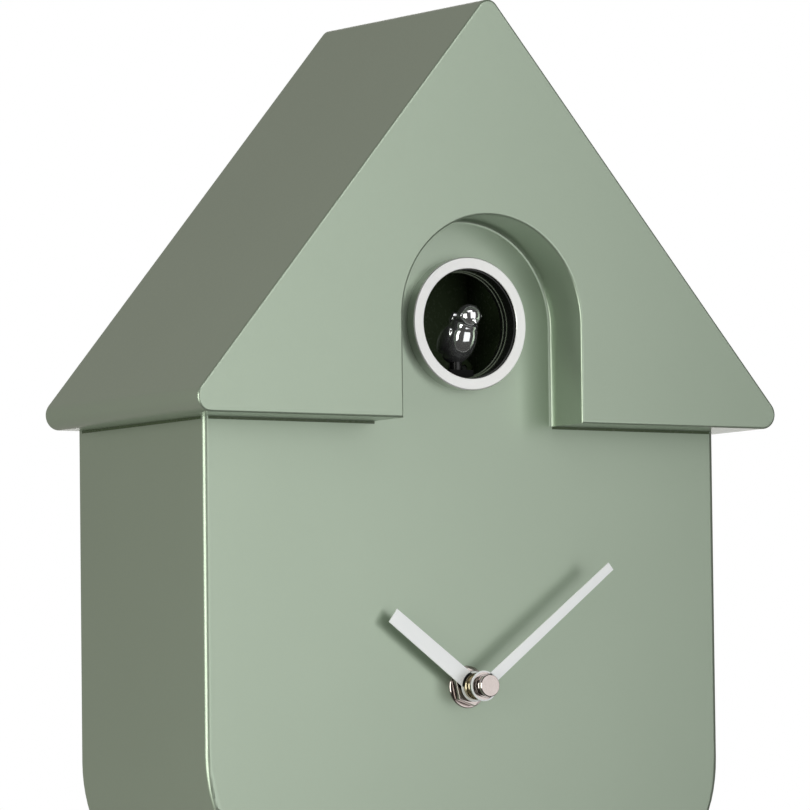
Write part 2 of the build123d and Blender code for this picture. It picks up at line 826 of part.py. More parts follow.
with BuildPart() as bird:
    with BuildSketch(egg_plane):
        with BuildLine():
            Spline(
                (0, 0),
                (bird_body_radius, bird_body_length / 2),
                (0, bird_body_length),
                tangents=((1, 0), (-1, 0)),
            )
            Line((0, bird_body_length), (0, 0))
        make_face()
    revolve(axis=Axis(egg_plane.origin, egg_plane.y_dir))
    with Locations(head):
        Sphere(bird_head_radius)
    with BuildSketch(beak_plane):
        Circle(beak_radius)
    with BuildSketch(beak_plane.offset(beak_length)):
        Circle(beak_tip_radius)
    loft()
    with BuildSketch(tail_plane):
        Rectangle(*tail_root_size)
    with BuildSketch(tail_plane.offset(tail_length)):
        Rectangle(*tail_tip_size)
    loft()
    # the flat seat on the post, and the hole for the post's pin
    with BuildSketch(Plane.XY.offset(bird_seat_z)):
        with Locations((0, post_y)):
            Circle(bird_post_radius + seat_clearance)
    extrude(amount=-bird_body_length, mode=Mode.SUBTRACT)
    with BuildSketch(Plane.XY.offset(bird_seat_z)):
        with Locations((0, post_y)):
            Circle(bird_pin_radius + fit_clearance)
    extrude(amount=bird_pin_height + seat_clearance, mode=Mode.SUBTRACT)
write(bird, "bird")

# ================================================================ the bird's drive
foot_z = gear_z - bird_wheel_tip - bracket_foot_gap
keeper_z = arm_top_z + slide_clearance
keeper_bar_z = gear_z + bird_wheel_tip + slide_clearance
cheek_height = keeper_bar_z + keeper_height - foot_z
cheek_x = bracket_half_gap + bracket_wall  # outside of each cheek

with BuildPart() as drive_bracket:
    with BuildSketch(at_y(bracket_y + bracket_length)):
        with Locations((0, foot_z - bracket_wall)):
            Rectangle(2 * cheek_x, cheek_height + bracket_wall, align=CENTRED_LOW)
        with Locations((0, foot_z)):
            Rectangle(2 * bracket_half_gap, cheek_height, align=CENTRED_LOW, mode=Mode.SUBTRACT)
    extrude(amount=bracket_length)
    # the flanges that are screwed to the nest
    with BuildSketch(at_y(bracket_y + bracket_wall)):
        for side in (-1, 1):
            with Locations((side * (bracket_half_gap + bracket_flange / 2), bracket_screw_z)):
                Rectangle(bracket_flange, bracket_flange_height)
        with Locations(*bracket_screw_places):
            Circle(screw_passage, mode=Mode.SUBTRACT)
    extrude(amount=bracket_wall)
    # the keeper: a bar that clears the wheel, with a pad that holds the arm down over the gear
    with BuildSketch(at_y(gear_y + keeper_length / 2)):
        with Locations((0, keeper_bar_z)):
            Rectangle(2 * bracket_half_gap, keeper_height, align=CENTRED_LOW)
        with Locations((0, keeper_z)):
            Rectangle(2 * arm_half_width, keeper_bar_z - keeper_z, align=CENTRED_LOW)
    extrude(amount=keeper_length)
    # holes for the gear's axle and the motor's boss
    with BuildSketch(at_x(-cheek_x)):
        with Locations((gear_y, gear_z)):
            Circle(gear_axle_radius + fit_clearance)
    extrude(amount=2 * cheek_x, mode=Mode.SUBTRACT)
    with BuildSketch(at_x(-cheek_x)):
        with Locations((motor_y, motor_z)):
            Circle(motor_boss_radius + fit_clearance)
    extrude(amount=bracket_wall, mode=Mode.SUBTRACT)
write(drive_bracket, "drive_bracket")

bracket_screws = screws(bracket_screw_places, bracket_y + bracket_wall, bracket_wall + nest_wall + short_bite)
write(bracket_screws, "bracket_screws")

with BuildPart() as gear_axle:
    with BuildSketch(at_x(-cheek_x - gear_axle_end)):
        with Locations((gear_y, gear_z)):
            Circle(gear_axle_radius)
    extrude(amount=2 * (cheek_x + gear_axle_end))
write(gear_axle, "gear_axle")

# The bird gear: a pinion under the rack and a larger wheel beside it, moulded together.
with BuildPart() as bird_gear:
    with BuildSketch(at_x(-bird_pinion_half_width)):
        with Locations((gear_y, gear_z)):
            Polygon(*tooth_points(rack_module, bird_pinion_teeth, 90), align=None)
    extrude(amount=2 * bird_pinion_half_width)
    with BuildSketch(at_x(bird_wheel_x)):
        with Locations((gear_y, gear_z)):
            Polygon(*tooth_points(bird_wheel_module, bird_wheel_teeth, 0), align=None)
    extrude(amount=bird_wheel_width)
    with BuildSketch(at_x(slide_clearance - bracket_half_gap)):
        with Locations((gear_y, gear_z)):
            Circle(bird_hub_radius)
    extrude(amount=2 * (bracket_half_gap - slide_clearance))
    with BuildSketch(at_x(-bracket_half_gap)):
        with Locations((gear_y, gear_z)):
            Circle(gear_axle_radius + running_clearance)
    extrude(amount=2 * bracket_half_gap, mode=Mode.SUBTRACT)
write(bird_gear, "bird_gear")

with BuildPart() as drive_motor:
    with BuildSketch(at_x(-cheek_x)):
        with Locations((motor_y, motor_z)):
            Circle(motor_radius)
            Rectangle(2 * motor_radius, 2 * motor_half_flats, mode=Mode.INTERSECT)
    extrude(amount=-motor_length)
    with BuildSketch(at_x(-cheek_x - motor_length - motor_end_cap)):
        with Locations((motor_y, motor_z)):
            Circle(motor_boss_radius)
    extrude(amount=motor_end_cap + motor_length + bracket_wall)
    with BuildSketch(at_x(-bracket_half_gap)):
        with Locations((motor_y, motor_z)):
            Circle(motor_shaft_radius + running_clearance)
    extrude(amount=-(motor_shaft_depth + bracket_wall), mode=Mode.SUBTRACT)
write(drive_motor, "drive_motor")

with BuildPart() as motor_shaft:
    with BuildSketch(at_x(motor_shaft_play - motor_shaft_depth - cheek_x)):
        with Locations((motor_y, motor_z)):
            Circle(motor_shaft_radius)
    extrude(amount=motor_shaft_depth + cheek_x + bird_wheel_x + bird_wheel_width)
write(motor_shaft, "motor_shaft")

motor_pinion_phase = meshing_phase(0, motor_angle, bird_wheel_teeth, motor_pinion_teeth)
with BuildPart() as motor_pinion:
    with BuildSketch(at_x(bird_wheel_x - slide_clearance)):
        with Locations((motor_y, motor_z)):
            Polygon(*tooth_points(bird_wheel_module, motor_pinion_teeth, motor_pinion_phase), align=None)
            Circle(motor_shaft_radius + fit_clearance, mode=Mode.SUBTRACT)
    extrude(amount=bird_wheel_width + 2 * slide_clearance)
write(motor_pinion, "motor_pinion")

# ================================================================ the quartz movement
# Depths from its front to its back: the hour wheel, the motion wheel, the train plate, the
# centre wheel, the third wheel, the rotor's magnet and the cover.
train_y = movement_front_y + movement_wall
hour_wheel_y = train_y + first_layer_gap + wheel_thickness
motion_y = hour_wheel_y + layer_gap + wheel_thickness
plate_y = motion_y + layer_gap + plate_thickness
plate_front_y = plate_y - plate_thickness
centre_y = plate_y + layer_gap + train_wheel_thickness
third_y = centre_y + layer_gap + train_wheel_thickness
magnet_y = third_y + layer_gap + rotor_magnet_length
stator_y = magnet_y - (rotor_magnet_length - stator_thickness) / 2
cover_plate_y = movement_back_y - movement_cover_thickness
pivot_end_y = cover_plate_y + pivot_length

arbor = (0, hands_z)
setting_arbor = away(arbor, motion_module * (cannon_teeth + motion_wheel_teeth) / 2, motion_angle)
third_arbor = away(arbor, train_module * (centre_wheel_teeth + train_pinion_teeth) / 2, third_angle)
rotor_arbor = away(third_arbor, train_module * (third_wheel_teeth + train_pinion_teeth) / 2, rotor_angle)
bay_top_z = hands_z - half_room + 2 * cell_radius + 2 * cell_play
works_low_z = bay_top_z + movement_wall + seat_clearance
works_height = hands_z + half_room - seat_clearance - works_low_z
works_half_width = half_room - seat_clearance
plate_post_x = half_room - plate_post_inset
plate_post_places = [
    (-plate_post_x, hands_z + plate_post_x),
    (plate_post_x, hands_z + plate_post_x),
    (-plate_post_x, bay_top_z + movement_wall + plate_post_rise),
    (plate_post_x, bay_top_z + movement_wall + plate_post_rise),
]

with BuildPart() as movement_case:
    with BuildSketch(at_y(movement_back_y)):
        with Locations(arbor):
            RectangleRounded(movement_size, movement_size, movement_corner)
    extrude(amount=movement_depth)
    with BuildSketch(at_y(movement_back_y)):
        with Locations(arbor):
            Rectangle(2 * half_room, 2 * half_room)
    extrude(amount=movement_depth - movement_wall, mode=Mode.SUBTRACT)
    with BuildSketch(at_y(movement_back_y)):
        with Locations((0, bay_top_z)):
            Rectangle(2 * half_room, movement_wall, align=CENTRED_LOW)
    extrude(amount=movement_depth - movement_wall)
    with BuildSketch(at_y(plate_front_y)):
        with Locations(*plate_post_places):
            Circle(plate_post_radius)
    extrude(amount=plate_front_y - train_y)
    with BuildSketch(at_y(train_y)):
        with Locations(arbor):
            Circle(bush_radius + fit_clearance)
    extrude(amount=movement_wall, mode=Mode.SUBTRACT)
write(movement_case, "movement_case")

with BuildPart() as train_plate:
    with BuildSketch(at_y(plate_y)):
        with Locations((0, works_low_z)):
            Rectangle(2 * works_half_width, works_height, align=CENTRED_LOW)
        with Locations(arbor):
            Circle(arbor_neck_radius + running_clearance, mode=Mode.SUBTRACT)
        with Locations(setting_arbor):
            Circle(setting_shaft_radius + running_clearance, mode=Mode.SUBTRACT)
        with Locations(third_arbor):
            Circle(third_shaft_radius + running_clearance, mode=Mode.SUBTRACT)
        with Locations(rotor_arbor):
            Circle(rotor_shaft_radius + running_clearance, mode=Mode.SUBTRACT)
    extrude(amount=plate_thickness)
write(train_plate, "train_plate")

# The stator's loop runs from the rotor's ring to its right leg, and up to the coil's core.
core_z = hands_z + half_room - core_inset
loop_left_x = rotor_arbor[0]
loop_right_x = half_room - stator_right_inset
loop_middle_x = (loop_left_x + loop_right_x) / 2
stator_post_places = [
    (loop_right_x, (rotor_arbor[1] + core_z) / 2),
    (loop_left_x, rotor_arbor[1] + stator_hole_radius + stator_post_radius + plate_post_radius),
]

with BuildPart() as movement_cover:
    with BuildSketch(at_y(movement_back_y)):
        with Locations((0, works_low_z)):
            Rectangle(2 * works_half_width, works_height, align=CENTRED_LOW)
    extrude(amount=movement_cover_thickness)
    with BuildSketch(at_y(cover_plate_y)):
        with Locations(*stator_post_places):
            Circle(stator_post_radius)
    extrude(amount=cover_plate_y - stator_y)
    with BuildSketch(at_y(cover_plate_y)):
        with Locations(arbor):
            Circle(arbor_pivot_radius + running_clearance)
        with Locations(third_arbor):
            Circle(third_shaft_radius + running_clearance)
        with Locations(rotor_arbor):
            Circle(rotor_shaft_radius + running_clearance)
    extrude(amount=-pivot_hole_depth, mode=Mode.SUBTRACT)
    with BuildSketch(at_y(movement_back_y)):
        with Locations(setting_arbor):
            Circle(setting_shaft_radius + running_clearance)
    extrude(amount=movement_cover_thickness, mode=Mode.SUBTRACT)
write(movement_cover, "movement_cover")

# What the bush carries: it is fixed in the movement's front and clamps the face with its nut.
with BuildPart() as threaded_bush:
    with BuildSketch(at_y(train_y)):
        with Locations(arbor):
            Circle(bush_radius)
            Circle(hour_pipe_radius + running_clearance, mode=Mode.SUBTRACT)
    extrude(amount=train_y - face_y + bush_proud)
write(threaded_bush, "threaded_bush")

with BuildPart() as bush_gasket:
    with BuildSketch(at_y(movement_front_y)):
        with Locations(arbor):
            Circle(gasket_radius)
            Circle(bush_radius + seat_clearance, mode=Mode.SUBTRACT)
    extrude(amount=gasket_thickness)
write(bush_gasket, "bush_gasket")

with BuildPart() as bush_washer:
    with BuildSketch(at_y(face_y)):
        with Locations(arbor):
            Circle(washer_radius)
            Circle(bush_radius + seat_clearance, mode=Mode.SUBTRACT)
    extrude(amount=washer_thickness)
write(bush_washer, "bush_washer")

with BuildPart() as bush_nut:
    with BuildSketch(at_y(face_y - washer_thickness)):
        with Locations(arbor):
            RegularPolygon(nut_flats / 2, 6, major_radius=False, rotation=nut_turn)
            Circle(nut_flats / 2 / cos(pi / 6) - nut_corner_cut, mode=Mode.INTERSECT)
            Circle(bush_radius + fit_clearance, mode=Mode.SUBTRACT)
    extrude(amount=nut_thickness)
write(bush_nut, "bush_nut")

# The hour wheel and its pipe run round the minute arbor, inside the threaded bush.
hour_wheel_phase = meshing_phase(0, motion_angle + 180, motion_pinion_teeth, hour_wheel_teeth)
hour_pipe_end_y = face_y - hour_pipe_proud
with BuildPart() as hour_wheel:
    with BuildSketch(at_y(hour_wheel_y)):
        with Locations(arbor):
            Polygon(*tooth_points(hour_module, hour_wheel_teeth, hour_wheel_phase), align=None)
    extrude(amount=wheel_thickness)
    with BuildSketch(at_y(hour_wheel_y)):
        with Locations(arbor):
            Circle(hour_pipe_radius)
    extrude(amount=hour_wheel_y - hour_pipe_end_y)
    with BuildSketch(at_y(hour_wheel_y)):
        with Locations(arbor):
            Circle(arbor_radius + running_clearance)
    extrude(amount=hour_wheel_y - hour_pipe_end_y, mode=Mode.SUBTRACT)
write(hour_wheel, "hour_wheel")

# The minute arbor carries the cannon pinion, the centre wheel, the minute hand and its cap.
arbor_end_y = face_y - arbor_proud
with BuildPart() as minute_arbor:
    with BuildSketch(at_y(motion_y)):
        with Locations(arbor):
            Polygon(*tooth_points(motion_module, cannon_teeth, 0), align=None)
    extrude(amount=wheel_thickness)
    with BuildSketch(at_y(motion_y)):
        with Locations(arbor):
            Circle(arbor_radius)
    extrude(amount=motion_y - arbor_end_y)
    with BuildSketch(at_y(centre_y)):
        with Locations(arbor):
            Circle(arbor_neck_radius)
    extrude(amount=centre_y - motion_y)
    with BuildSketch(at_y(pivot_end_y)):
        with Locations(arbor):
            Circle(arbor_pivot_radius)
    extrude(amount=pivot_end_y - centre_y)
write(minute_arbor, "minute_arbor")

with BuildPart() as centre_wheel:
    with BuildSketch(at_y(centre_y)):
        with Locations(arbor):
            Polygon(*tooth_points(train_module, centre_wheel_teeth, 0), align=None)
            Circle(arbor_neck_radius + fit_clearance, mode=Mode.SUBTRACT)
    extrude(amount=train_wheel_thickness)
write(centre_wheel, "centre_wheel")

motion_wheel_phase = meshing_phase(0, motion_angle, cannon_teeth, motion_wheel_teeth)
setting_end_y = movement_back_y + setting_shaft_reach
with BuildPart() as motion_wheel:
    with BuildSketch(at_y(motion_y)):
        with Locations(setting_arbor):
            Polygon(*tooth_points(motion_module, motion_wheel_teeth, motion_wheel_phase), align=None)
    extrude(amount=wheel_thickness)
    with BuildSketch(at_y(hour_wheel_y)):
        with Locations(setting_arbor):
            Polygon(*tooth_points(hour_module, motion_pinion_teeth, 0), align=None)
    extrude(amount=wheel_thickness)
    with BuildSketch(at_y(setting_end_y)):
        with Locations(setting_arbor):
            Circle(setting_shaft_radius)
    extrude(amount=setting_end_y - train_y - seat_clearance)
write(motion_wheel, "motion_wheel")

with BuildPart() as setting_knob:
    with BuildSketch(at_y(movement_back_y + slide_clearance + knob_height)):
        with Locations(setting_arbor):
            Circle(knob_radius)
            with PolarLocations(knob_radius, knob_ribs):
                Circle(knob_rib_radius, mode=Mode.SUBTRACT)
    extrude(amount=knob_height)
    with BuildSketch(at_y(setting_end_y)):
        with Locations(setting_arbor):
            Circle(setting_shaft_radius + fit_clearance)
    extrude(amount=setting_shaft_reach, mode=Mode.SUBTRACT)
write(setting_knob, "setting_knob")

# The third wheel and the rotor turn between the train plate and the cover.
third_pinion_phase = meshing_phase(0, third_angle, centre_wheel_teeth, train_pinion_teeth)
shaft_front_y = plate_front_y + seat_clearance
with BuildPart() as third_wheel:
    with BuildSketch(at_y(third_y)):
        with Locations(third_arbor):
            Polygon(*tooth_points(train_module, third_wheel_teeth, 0), align=None)
    extrude(amount=train_wheel_thickness)
    with BuildSketch(at_y(centre_y)):
        with Locations(third_arbor):
            Polygon(*tooth_points(train_module, train_pinion_teeth, third_pinion_phase), align=None)
    extrude(amount=train_wheel_thickness)
    with BuildSketch(at_y(pivot_end_y)):
        with Locations(third_arbor):
            Circle(third_shaft_radius)
    extrude(amount=pivot_end_y - shaft_front_y)
write(third_wheel, "third_wheel")

rotor_pinion_phase = meshing_phase(0, rotor_angle, third_wheel_teeth, train_pinion_teeth)
with BuildPart() as stepper_rotor:
    with BuildSketch(at_y(third_y)):
        with Locations(rotor_arbor):
            Polygon(*tooth_points(train_module, train_pinion_teeth, rotor_pinion_phase), align=None)
    extrude(amount=train_wheel_thickness)
    with BuildSketch(at_y(magnet_y)):
        with Locations(rotor_arbor):
            Circle(rotor_magnet_radius)
    extrude(amount=rotor_magnet_length)
    with BuildSketch(at_y(pivot_end_y)):
        with Locations(rotor_arbor):
            Circle(rotor_shaft_radius)
    extrude(amount=pivot_end_y - shaft_front_y)
write(stepper_rotor, "stepper_rotor")

with BuildPart() as stator:
    with BuildSketch(at_y(stator_y)):
        with Locations(rotor_arbor):
            Circle(stator_ring_radius)
        with Locations((loop_middle_x, rotor_arbor[1])):
            Rectangle(loop_right_x - loop_left_x + stator_arm, stator_arm)
        with Locations((loop_middle_x, core_z)):
            Rectangle(loop_right_x - loop_left_x + stator_arm, core_height)
        with Locations(
            (loop_left_x, (rotor_arbor[1] + core_z) / 2), (loop_right_x, (rotor_arbor[1] + core_z) / 2)
        ):
            Rectangle(stator_arm, core_z - rotor_arbor[1] + core_height)
        with Locations(rotor_arbor):
            Circle(stator_hole_radius, mode=Mode.SUBTRACT)
    extrude(amount=stator_thickness)
write(stator, "stator")

with BuildPart() as stepper_coil:
    with BuildSketch(at_x(loop_middle_x - coil_length / 2)):
        with Locations((stator_y - stator_thickness / 2, core_z)):
            Circle(coil_radius)
            Rectangle(stator_thickness + seat_clearance, core_height + seat_clearance, mode=Mode.SUBTRACT)
    extrude(amount=coil_length)
write(stepper_coil, "stepper_coil")

quartz_board_centre = (half_room - quartz_board_inset, hands_z)
with BuildPart() as quartz_board:
    with BuildSketch(at_y(cover_plate_y)):
        with Locations(quartz_board_centre):
            Rectangle(*quartz_board_size)
    extrude(amount=quartz_board_thickness)
    with BuildSketch(at_y(cover_plate_y - quartz_board_thickness)):
        with Locations(beside(quartz_board_centre, (-quartz_chip_radius, -2 * quartz_chip_radius))):
            Circle(quartz_chip_radius)
        with Locations(beside(quartz_board_centre, (quartz_chip_radius, quartz_chip_radius))):
            Rectangle(*crystal_size)
    extrude(amount=quartz_part_height)
write(quartz_board, "quartz_board")

# The movement's own cell lies across its lower part, between two contacts.
cell_y = train_y + cell_radius + cell_play
cell_z = hands_z - half_room + cell_radius + cell_play

clock_cell = dry_cell(Plane(origin=(-cell_length / 2, cell_y, cell_z), x_dir=(0, 1, 0), z_dir=(1, 0, 0)))
write(clock_cell, "clock_cell")

with BuildPart() as clock_contacts:
    for side in (-1, 1):
        with BuildSketch(at_x(side * half_room)):
            with Locations((cell_y, cell_z)):
                Rectangle(contact_width, contact_width)
        extrude(amount=-side * contact_thickness)
        with BuildSketch(at_x(side * half_room)):
            with Locations((cell_y, cell_z)):
                Circle(contact_spring_radius)
        extrude(amount=-side * contact_room)
write(clock_contacts, "clock_contacts")


# ---------------------------------------------------------------- hands
def hand(back_of_hand_y, angle, length, root_width, tip_width, bore_radius):
    """A flat tapered hand that points at a clock angle in degrees, with a round hub."""
    with BuildPart() as piece:
        with BuildSketch(at_y(back_of_hand_y)):
            with Locations(Location((0, hands_z, 0), (0, 0, -angle))):
                Polygon(
                    (-root_width / 2, 0),
                    (root_width / 2, 0),
                    (tip_width / 2, length),
                    (-tip_width / 2, length),
                    align=None,
                )
                Circle(hand_hub_radius)
                Circle(bore_radius, mode=Mode.SUBTRACT)
        extrude(amount=hand_thickness)
    return piece


minute_angle = 6 * minutes_shown
hour_angle = 300 + minute_angle / 12
hour_hand_y = face_y - hour_hand_proud
minute_hand_y = face_y - minute_hand_proud
pipe_fit = hour_pipe_radius + fit_clearance
arbor_fit = arbor_radius + fit_clearance

hour_hand = hand(
    hour_hand_y, hour_angle, hour_hand_length, hour_hand_root_width, hour_hand_tip_width, pipe_fit
)
write(hour_hand, "hour_hand")

with BuildPart() as hour_collet:
    with BuildSketch(at_y(hour_hand_y - hand_thickness)):
        with Locations(arbor):
            Circle(collet_radius)
            Circle(pipe_fit, mode=Mode.SUBTRACT)
    extrude(amount=hour_collet_length)
write(hour_collet, "hour_collet")

minute_hand = hand(
    minute_hand_y, minute_angle, minute_hand_length, minute_hand_root_width, minute_hand_tip_width, arbor_fit
)
write(minute_hand, "minute_hand")

with BuildPart() as minute_collet:
    with BuildSketch(at_y(minute_hand_y + minute_collet_length)):
        with Locations(arbor):
            Circle(collet_radius)
            Circle(arbor_fit, mode=Mode.SUBTRACT)
    extrude(amount=minute_collet_length)
    with BuildSketch(at_y(minute_hand_y - hand_thickness)):
        with Locations(arbor):
            Circle(collet_radius)
            Circle(arbor_fit, mode=Mode.SUBTRACT)
    extrude(amount=minute_flange_thickness)
write(minute_collet, "minute_collet")

cap_base_y = minute_hand_y - hand_thickness - minute_flange_thickness
with BuildPart() as hand_cap:
    with BuildSketch(at_y(cap_base_y)):
        with Locations(arbor):
            Circle(cap_neck_radius)
    extrude(amount=cap_neck_height)
    with BuildSketch(at_y(cap_base_y - cap_neck_height)):
        with Locations(arbor):
            Circle(cap_radius)
    extrude(amount=cap_height)
    chamfer(hand_cap.faces().sort_by(Axis.Y)[0].edges(), cap_edge)
    with BuildSketch(at_y(cap_base_y)):
        with Locations(arbor):
            Circle(arbor_fit)
    extrude(amount=cap_base_y - arbor_end_y + seat_clearance, mode=Mode.SUBTRACT)
write(hand_cap, "hand_cap")

# ================================================================ sound, power and controls
speaker_front_y = cover_in_y - speaker_depth
speaker_hole_radius = speaker_radius - speaker_rim_width
with BuildPart() as speaker_basket:
    with BuildSketch(at_y(cover_in_y)):
        with Locations(speaker_centre):
            Circle(speaker_radius)
            Circle(speaker_hole_radius, mode=Mode.SUBTRACT)
    extrude(amount=speaker_flange)
    with BuildSketch(at_y(cover_in_y - speaker_flange)):
        with Locations(speaker_centre):
            Circle(speaker_hole_radius + speaker_plate)
    with BuildSketch(at_y(speaker_front_y)):
        with Locations(speaker_centre):
            Circle(speaker_magnet_radius + speaker_plate)
    loft()
    with BuildSketch(at_y(cover_in_y - speaker_flange)):
        with Locations(speaker_centre):
            Circle(speaker_hole_radius)
    with BuildSketch(at_y(speaker_front_y + speaker_plate)):
        with Locations(speaker_centre):
            Circle(speaker_magnet_radius)
    loft(mode=Mode.SUBTRACT)
write(speaker_basket, "speaker_basket")

with BuildPart() as speaker_magnet:
    with BuildSketch(at_y(speaker_front_y)):
        with Locations(speaker_centre):
            Circle(speaker_magnet_radius)
    extrude(amount=speaker_magnet_height)
write(speaker_magnet, "speaker_magnet")

# The cone is a thin paper funnel inside the basket, with its voice coil's sleeve behind it.
cone_rim_y = cover_in_y - cone_setback
cone_throat_y = cone_rim_y - cone_depth
with BuildPart() as speaker_cone:
    with BuildSketch(at_y(cone_rim_y)):
        with Locations(speaker_centre):
            Circle(speaker_hole_radius)
    extrude(amount=cone_rim_thickness)
    with BuildSketch(at_y(cone_rim_y)):
        with Locations(speaker_centre):
            Circle(cone_radius)
    with BuildSketch(at_y(cone_throat_y)):
        with Locations(speaker_centre):
            Circle(voice_coil_radius)
    loft()
    with BuildSketch(at_y(cone_rim_y)):
        with Locations(speaker_centre):
            Circle(cone_radius - cone_thickness)
    with BuildSketch(at_y(cone_throat_y + cone_thickness)):
        with Locations(speaker_centre):
            Circle(voice_coil_radius - cone_thickness)
    loft(mode=Mode.SUBTRACT)
    with BuildSketch(at_y(cone_throat_y)):
        with Locations(speaker_centre):
            Circle(voice_coil_radius)
            Circle(voice_coil_radius - cone_thickness, mode=Mode.SUBTRACT)
    extrude(amount=cone_throat_y - speaker_front_y - speaker_plate)
write(speaker_cone, "speaker_cone")

# Small plates, each riveted to its own boss, hold the speaker's rim down.
with BuildPart() as speaker_clamps:
    with BuildSketch(at_y(cover_in_y - speaker_flange)):
        for angle in clamp_angles:
            middle = away(speaker_centre, clamp_post_radius - clamp_lap, angle)
            with Locations(Location((*middle, 0), (0, 0, angle))):
                Rectangle(*clamp_size)
    extrude(amount=clamp_thickness)
    with BuildSketch(at_y(cover_in_y - speaker_flange - clamp_thickness)):
        with Locations(*clamp_post_places):
            Circle(rivet_radius)
    extrude(amount=rivet_height)
write(speaker_clamps, "speaker_clamps")

# The main board stands on four bosses of the cover. Its controls face the cover.
with BuildPart() as main_board:
    with BuildSketch(at_y(board_back_y)):
        with Locations(board_centre):
            Rectangle(*board_size)
        with Locations(*board_screw_places):
            Circle(screw_passage, mode=Mode.SUBTRACT)
    extrude(amount=board_thickness)
    with BuildSketch(at_y(board_back_y - board_thickness)):
        with Locations(beside(board_centre, board_chip_place)):
            Rectangle(*board_chip_size)
        with Locations(*[beside(board_centre, place) for place in capacitor_places]):
            Circle(capacitor_radius)
    extrude(amount=board_part_height)
write(main_board, "main_board")

with BuildPart() as board_screws:
    with BuildSketch(at_y(board_back_y - board_thickness)):
        with Locations(*board_screw_places):
            Circle(screw_head_radius)
    extrude(amount=screw_head_height)
    with BuildSketch(at_y(board_back_y - board_thickness)):
        with Locations(*board_screw_places):
            Circle(screw_radius)
    extrude(amount=-(board_thickness + short_bite))
write(board_screws, "board_screws")

# The bodies of the volume control, the slide switch and the test button, soldered to the board.
dial_base_y = board_back_y + dial_base_height
control_y = board_back_y + control_body_height
stem_slot = lever_stem + 2 * stem_clearance
with BuildPart() as control_bases:
    with BuildSketch(at_y(dial_base_y)):
        with Locations(dial_centre):
            Circle(dial_base_radius)
            Circle(dial_pin_radius + running_clearance, mode=Mode.SUBTRACT)
    extrude(amount=dial_base_height)
    with BuildSketch(at_y(control_y)):
        with Locations(switch_centre):
            Rectangle(switch_travel + 2 * switch_body_margin, switch_body_height)
            Rectangle(switch_travel + stem_slot, stem_slot, mode=Mode.SUBTRACT)
        with Locations(button_centre):
            Rectangle(button_body_size, button_body_size)
            Circle(button_stem_radius + running_clearance, mode=Mode.SUBTRACT)
    extrude(amount=control_body_height)
write(control_bases, "control_bases")

dial_front_y = dial_base_y + slide_clearance
with BuildPart() as volume_dial:
    with BuildSketch(at_y(cover_out_y + dial_proud)):
        with Locations(dial_centre):
            Circle(dial_radius)
            with PolarLocations(dial_radius, dial_ribs):
                Circle(dial_rib_radius, mode=Mode.SUBTRACT)
    extrude(amount=cover_out_y + dial_proud - dial_front_y)
    with BuildSketch(at_y(cover_out_y + dial_proud)):
        with Locations(beside(dial_centre, (0, dial_radius / 2))):
            Rectangle(dial_mark_width, dial_radius * 2 / 3)
    extrude(amount=dial_mark_depth, mode=Mode.SUBTRACT)
    with BuildSketch(at_y(dial_front_y)):
        with Locations(dial_centre):
            Circle(dial_pin_radius)
    extrude(amount=dial_pin_length)
write(volume_dial, "volume_dial")

lever_centre = beside(switch_centre, (-switch_travel / 2, 0))
lever_front_y = control_y + slide_clearance
with BuildPart() as sound_switch:
    with BuildSketch(at_y(cover_out_y + lever_proud)):
        with Locations(lever_centre):
            Rectangle(lever_size, lever_size)
    extrude(amount=cover_out_y + lever_proud - lever_front_y)
    with BuildSketch(at_y(lever_front_y)):
        with Locations(lever_centre):
            Rectangle(lever_stem, lever_stem)
    extrude(amount=lever_stem_length)
write(sound_switch, "sound_switch")

button_front_y = control_y + button_travel + slide_clearance
with BuildPart() as test_button:
    with BuildSketch(at_y(cover_out_y + button_proud)):
        with Locations(button_centre):
            Circle(button_radius)
    extrude(amount=cover_out_y + button_proud - button_front_y)
    with BuildSketch(at_y(button_front_y)):
        with Locations(button_centre):
            Circle(button_stem_radius)
    extrude(amount=2 * button_travel)
write(test_button, "test_button")

# Two cells side by side in the bay of the back cover, with contacts at both ends.
bay_cell_y = cover_out_y - door_thickness - bay_depth + cell_radius + cell_play
bay_cell_places = [
    (bay_centre[0] - bay_cell_offset, bay_cell_y),
    (bay_centre[0] + bay_cell_offset, bay_cell_y),
]
with BuildPart() as sound_cells:
    for place, way in zip(bay_cell_places, (1, -1)):
        foot = (*place, bay_centre[1] - way * cell_length / 2)
        add(dry_cell(Plane(origin=foot, x_dir=(1, 0, 0), z_dir=(0, 0, way))).part)
write(sound_cells, "sound_cells")

with BuildPart() as sound_contacts:
    for side in (-1, 1):
        with BuildSketch(Plane.XY.offset(bay_centre[1] + side * bay_half_height)):
            with Locations(*bay_cell_places):
                Rectangle(contact_width, contact_width)
        extrude(amount=-side * contact_thickness)
        with BuildSketch(Plane.XY.offset(bay_centre[1] + side * bay_half_height)):
            with Locations(*bay_cell_places):
                Circle(contact_spring_radius)
        extrude(amount=-side * contact_room)
write(sound_contacts, "sound_contacts")

door_half_width = bay_half_width + door_lap - cover_gap
door_half_height = bay_half_height + door_lap - cover_gap
with BuildPart() as battery_door:
    with BuildSketch(at_y(cover_out_y)):
        with Locations(bay_centre):
            Rectangle(2 * door_half_width, 2 * door_half_height)
    extrude(amount=door_thickness - seat_clearance)
    with BuildSketch(at_y(cover_out_y + grip_rib_height)):
        with Locations(beside(bay_centre, (0, bay_half_height - grip_drop))):
            with GridLocations(0, grip_rib_pitch, 1, grip_ribs):
                Rectangle(*grip_rib_size)
    extrude(amount=grip_rib_height)
write(battery_door, "battery_door")
